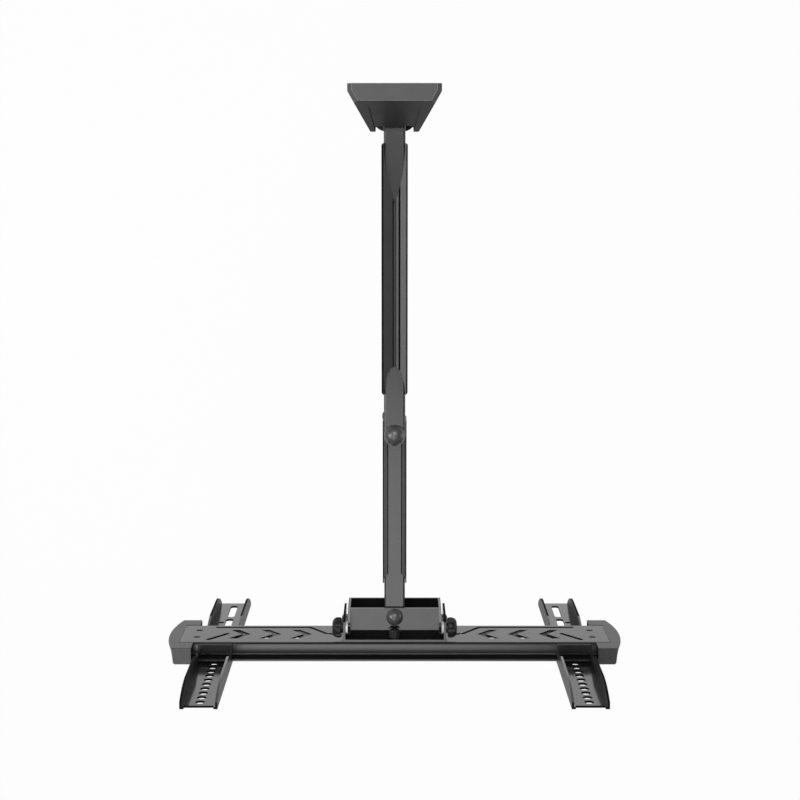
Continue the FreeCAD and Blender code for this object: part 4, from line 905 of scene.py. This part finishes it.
def floor_sheet(stage):
    """A wide pale floor that keeps a soft shadow.

    It glows for the camera and in gloss, and is clear from below.
    """
    mesh = bmesh.new()
    bmesh.ops.create_grid(mesh, x_segments=1, y_segments=1, size=FLOOR_HALF)
    data = bpy.data.meshes.new("floor")
    mesh.to_mesh(data)
    mesh.free()
    data.transform(Matrix.Translation((0.0, 0.0, -stage.floor_drop)))
    floor = bpy.data.objects.new("floor", data)
    material = bpy.data.materials.new("pale_floor")
    material.use_nodes = True
    nodes = material.node_tree.nodes
    nodes.clear()
    paths = nodes.new("ShaderNodeLightPath")
    seen = nodes.new("ShaderNodeMath")
    seen.operation = "MAXIMUM"
    link(nodes, paths, "Is Camera Ray", seen, 0)
    link(nodes, paths, "Is Glossy Ray", seen, 1)
    seen_or_through = nodes.new("ShaderNodeMath")
    seen_or_through.operation = "MAXIMUM"
    link(nodes, seen, "Value", seen_or_through, 0)
    link(nodes, paths, "Is Transmission Ray", seen_or_through, 1)
    part = nodes.new("ShaderNodeMath")
    part.operation = "MULTIPLY"
    part.inputs[1].default_value = FLOOR_GLOW
    link(nodes, seen_or_through, "Value", part, 0)
    matt = nodes.new("ShaderNodeBsdfDiffuse")
    matt.inputs["Color"].default_value = FLOOR_COLOUR
    glow = nodes.new("ShaderNodeEmission")
    glow.inputs["Color"].default_value = (1.0, 1.0, 1.0, 1.0)
    glow.inputs["Strength"].default_value = stage.backdrop
    mix = nodes.new("ShaderNodeMixShader")
    output = nodes.new("ShaderNodeOutputMaterial")
    link(nodes, part, "Value", mix, "Fac")
    link(nodes, matt, 0, mix, 1)
    link(nodes, glow, 0, mix, 2)
    under = nodes.new("ShaderNodeMixShader")
    side = nodes.new("ShaderNodeNewGeometry")
    clear = nodes.new("ShaderNodeBsdfTransparent")
    link(nodes, side, "Backfacing", under, "Fac")
    link(nodes, mix, 0, under, 1)
    link(nodes, clear, 0, under, 2)
    link(nodes, under, "Shader", output, "Surface")
    data.materials.append(material)
    return floor


def set_world(scene, stage):
    """A world that is white to the camera, dim in gloss and a plain soft light elsewhere."""
    world = bpy.data.worlds.new("studio")
    scene.world = world
    world.use_nodes = True
    nodes = world.node_tree.nodes
    nodes.clear()
    paths = nodes.new("ShaderNodeLightPath")
    seen = nodes.new("ShaderNodeMath")
    seen.operation = "MAXIMUM"
    link(nodes, paths, "Is Camera Ray", seen, 0)
    link(nodes, paths, "Is Transmission Ray", seen, 1)
    soft = nodes.new("ShaderNodeBackground")
    soft.inputs["Strength"].default_value = stage.sky
    gloss = nodes.new("ShaderNodeBackground")
    gloss.inputs["Strength"].default_value = stage.mirrored
    white = nodes.new("ShaderNodeBackground")
    white.inputs["Strength"].default_value = stage.backdrop
    lit = nodes.new("ShaderNodeMixShader")
    mix = nodes.new("ShaderNodeMixShader")
    output = nodes.new("ShaderNodeOutputWorld")
    link(nodes, paths, "Is Glossy Ray", lit, "Fac")
    link(nodes, soft, 0, lit, 1)
    link(nodes, gloss, 0, lit, 2)
    link(nodes, seen, "Value", mix, "Fac")
    link(nodes, lit, 0, mix, 1)
    link(nodes, white, 0, mix, 2)
    link(nodes, mix, "Shader", output, "Surface")


def aimed(place, target):
    """The turn that points a lamp or camera from one place to another."""
    way = Vector(target) - Vector(place)
    return way.to_track_quat("-Z", "Y").to_euler()


def lamp(scene, name, place, target, size, power):
    """A large square soft lamp."""
    light = bpy.data.lights.new(name, "AREA")
    light.shape = "SQUARE"
    light.size = size
    light.energy = power
    holder = bpy.data.objects.new(name, light)
    holder.location = place
    holder.rotation_euler = aimed(place, target)
    scene.collection.objects.link(holder)


def set_camera(scene):
    """The photograph's viewpoint: high over the arm, leaning a little towards the wall."""
    lens = bpy.data.cameras.new("camera")
    lens.sensor_width = SENSOR_MM
    lens.lens = LENS_MM
    lens.shift_x = SHIFT_X
    lens.clip_start = 0.05
    lens.clip_end = 60.0
    camera = bpy.data.objects.new("camera", lens)
    camera.location = CAMERA_PLACE
    camera.rotation_euler = (math.radians(CAMERA_LEAN), 0.0, 0.0)
    scene.collection.objects.link(camera)
    scene.camera = camera


class MountPanel(bpy.types.Panel):
    """Lists the mount's pieces in the sidebar"""

    bl_idname = "VIEW3D_PT_mount"
    bl_label = "TV wall mount"
    bl_space_type = "VIEW_3D"
    bl_region_type = "UI"
    bl_category = "Mount"

    def draw(self, context):
        scene = context.scene
        for group in (scene.mount_sizes, scene.mount_colours, scene.mount_stage):
            box = self.layout.box()
            for name in group.__annotations__:
                box.prop(group, name)
        for operator in DRESSERS:
            self.layout.operator(operator.bl_idname)


DRESSERS = (
    DressWallPlate,
    LayWeldBeads,
    DressWallCover,
    DressFasteners,
    DressArms,
    DressArmCovers,
    DressDomeCaps,
    DressHead,
    DressKnobs,
    DressRail,
    DressBrackets,
    SetStage,
)
GROUPS = (MountSizes, MountColours, MountStage)


def register():
    """Adds the property groups, the operators and the panel."""
    for kind in (*GROUPS, *DRESSERS, MountPanel):
        bpy.utils.register_class(kind)
    bpy.types.Scene.mount_sizes = bpy.props.PointerProperty(type=MountSizes)
    bpy.types.Scene.mount_colours = bpy.props.PointerProperty(type=MountColours)
    bpy.types.Scene.mount_stage = bpy.props.PointerProperty(type=MountStage)


def unregister():
    """Takes them out again."""
    del bpy.types.Scene.mount_stage
    del bpy.types.Scene.mount_colours
    del bpy.types.Scene.mount_sizes
    for kind in reversed((*GROUPS, *DRESSERS, MountPanel)):
        bpy.utils.unregister_class(kind)


def main():
    """Registers everything, makes every piece and sets the stage."""
    register()
    bpy.ops.mount.dress_wall_plate()
    bpy.ops.mount.lay_weld_beads()
    bpy.ops.mount.dress_wall_cover()
    bpy.ops.mount.dress_fasteners()
    bpy.ops.mount.dress_arms()
    bpy.ops.mount.dress_arm_covers()
    bpy.ops.mount.dress_dome_caps()
    bpy.ops.mount.dress_head()
    bpy.ops.mount.dress_knobs()
    bpy.ops.mount.dress_rail()
    bpy.ops.mount.dress_brackets()
    bpy.ops.mount.set_stage()


if __name__ == "__main__":
    main()
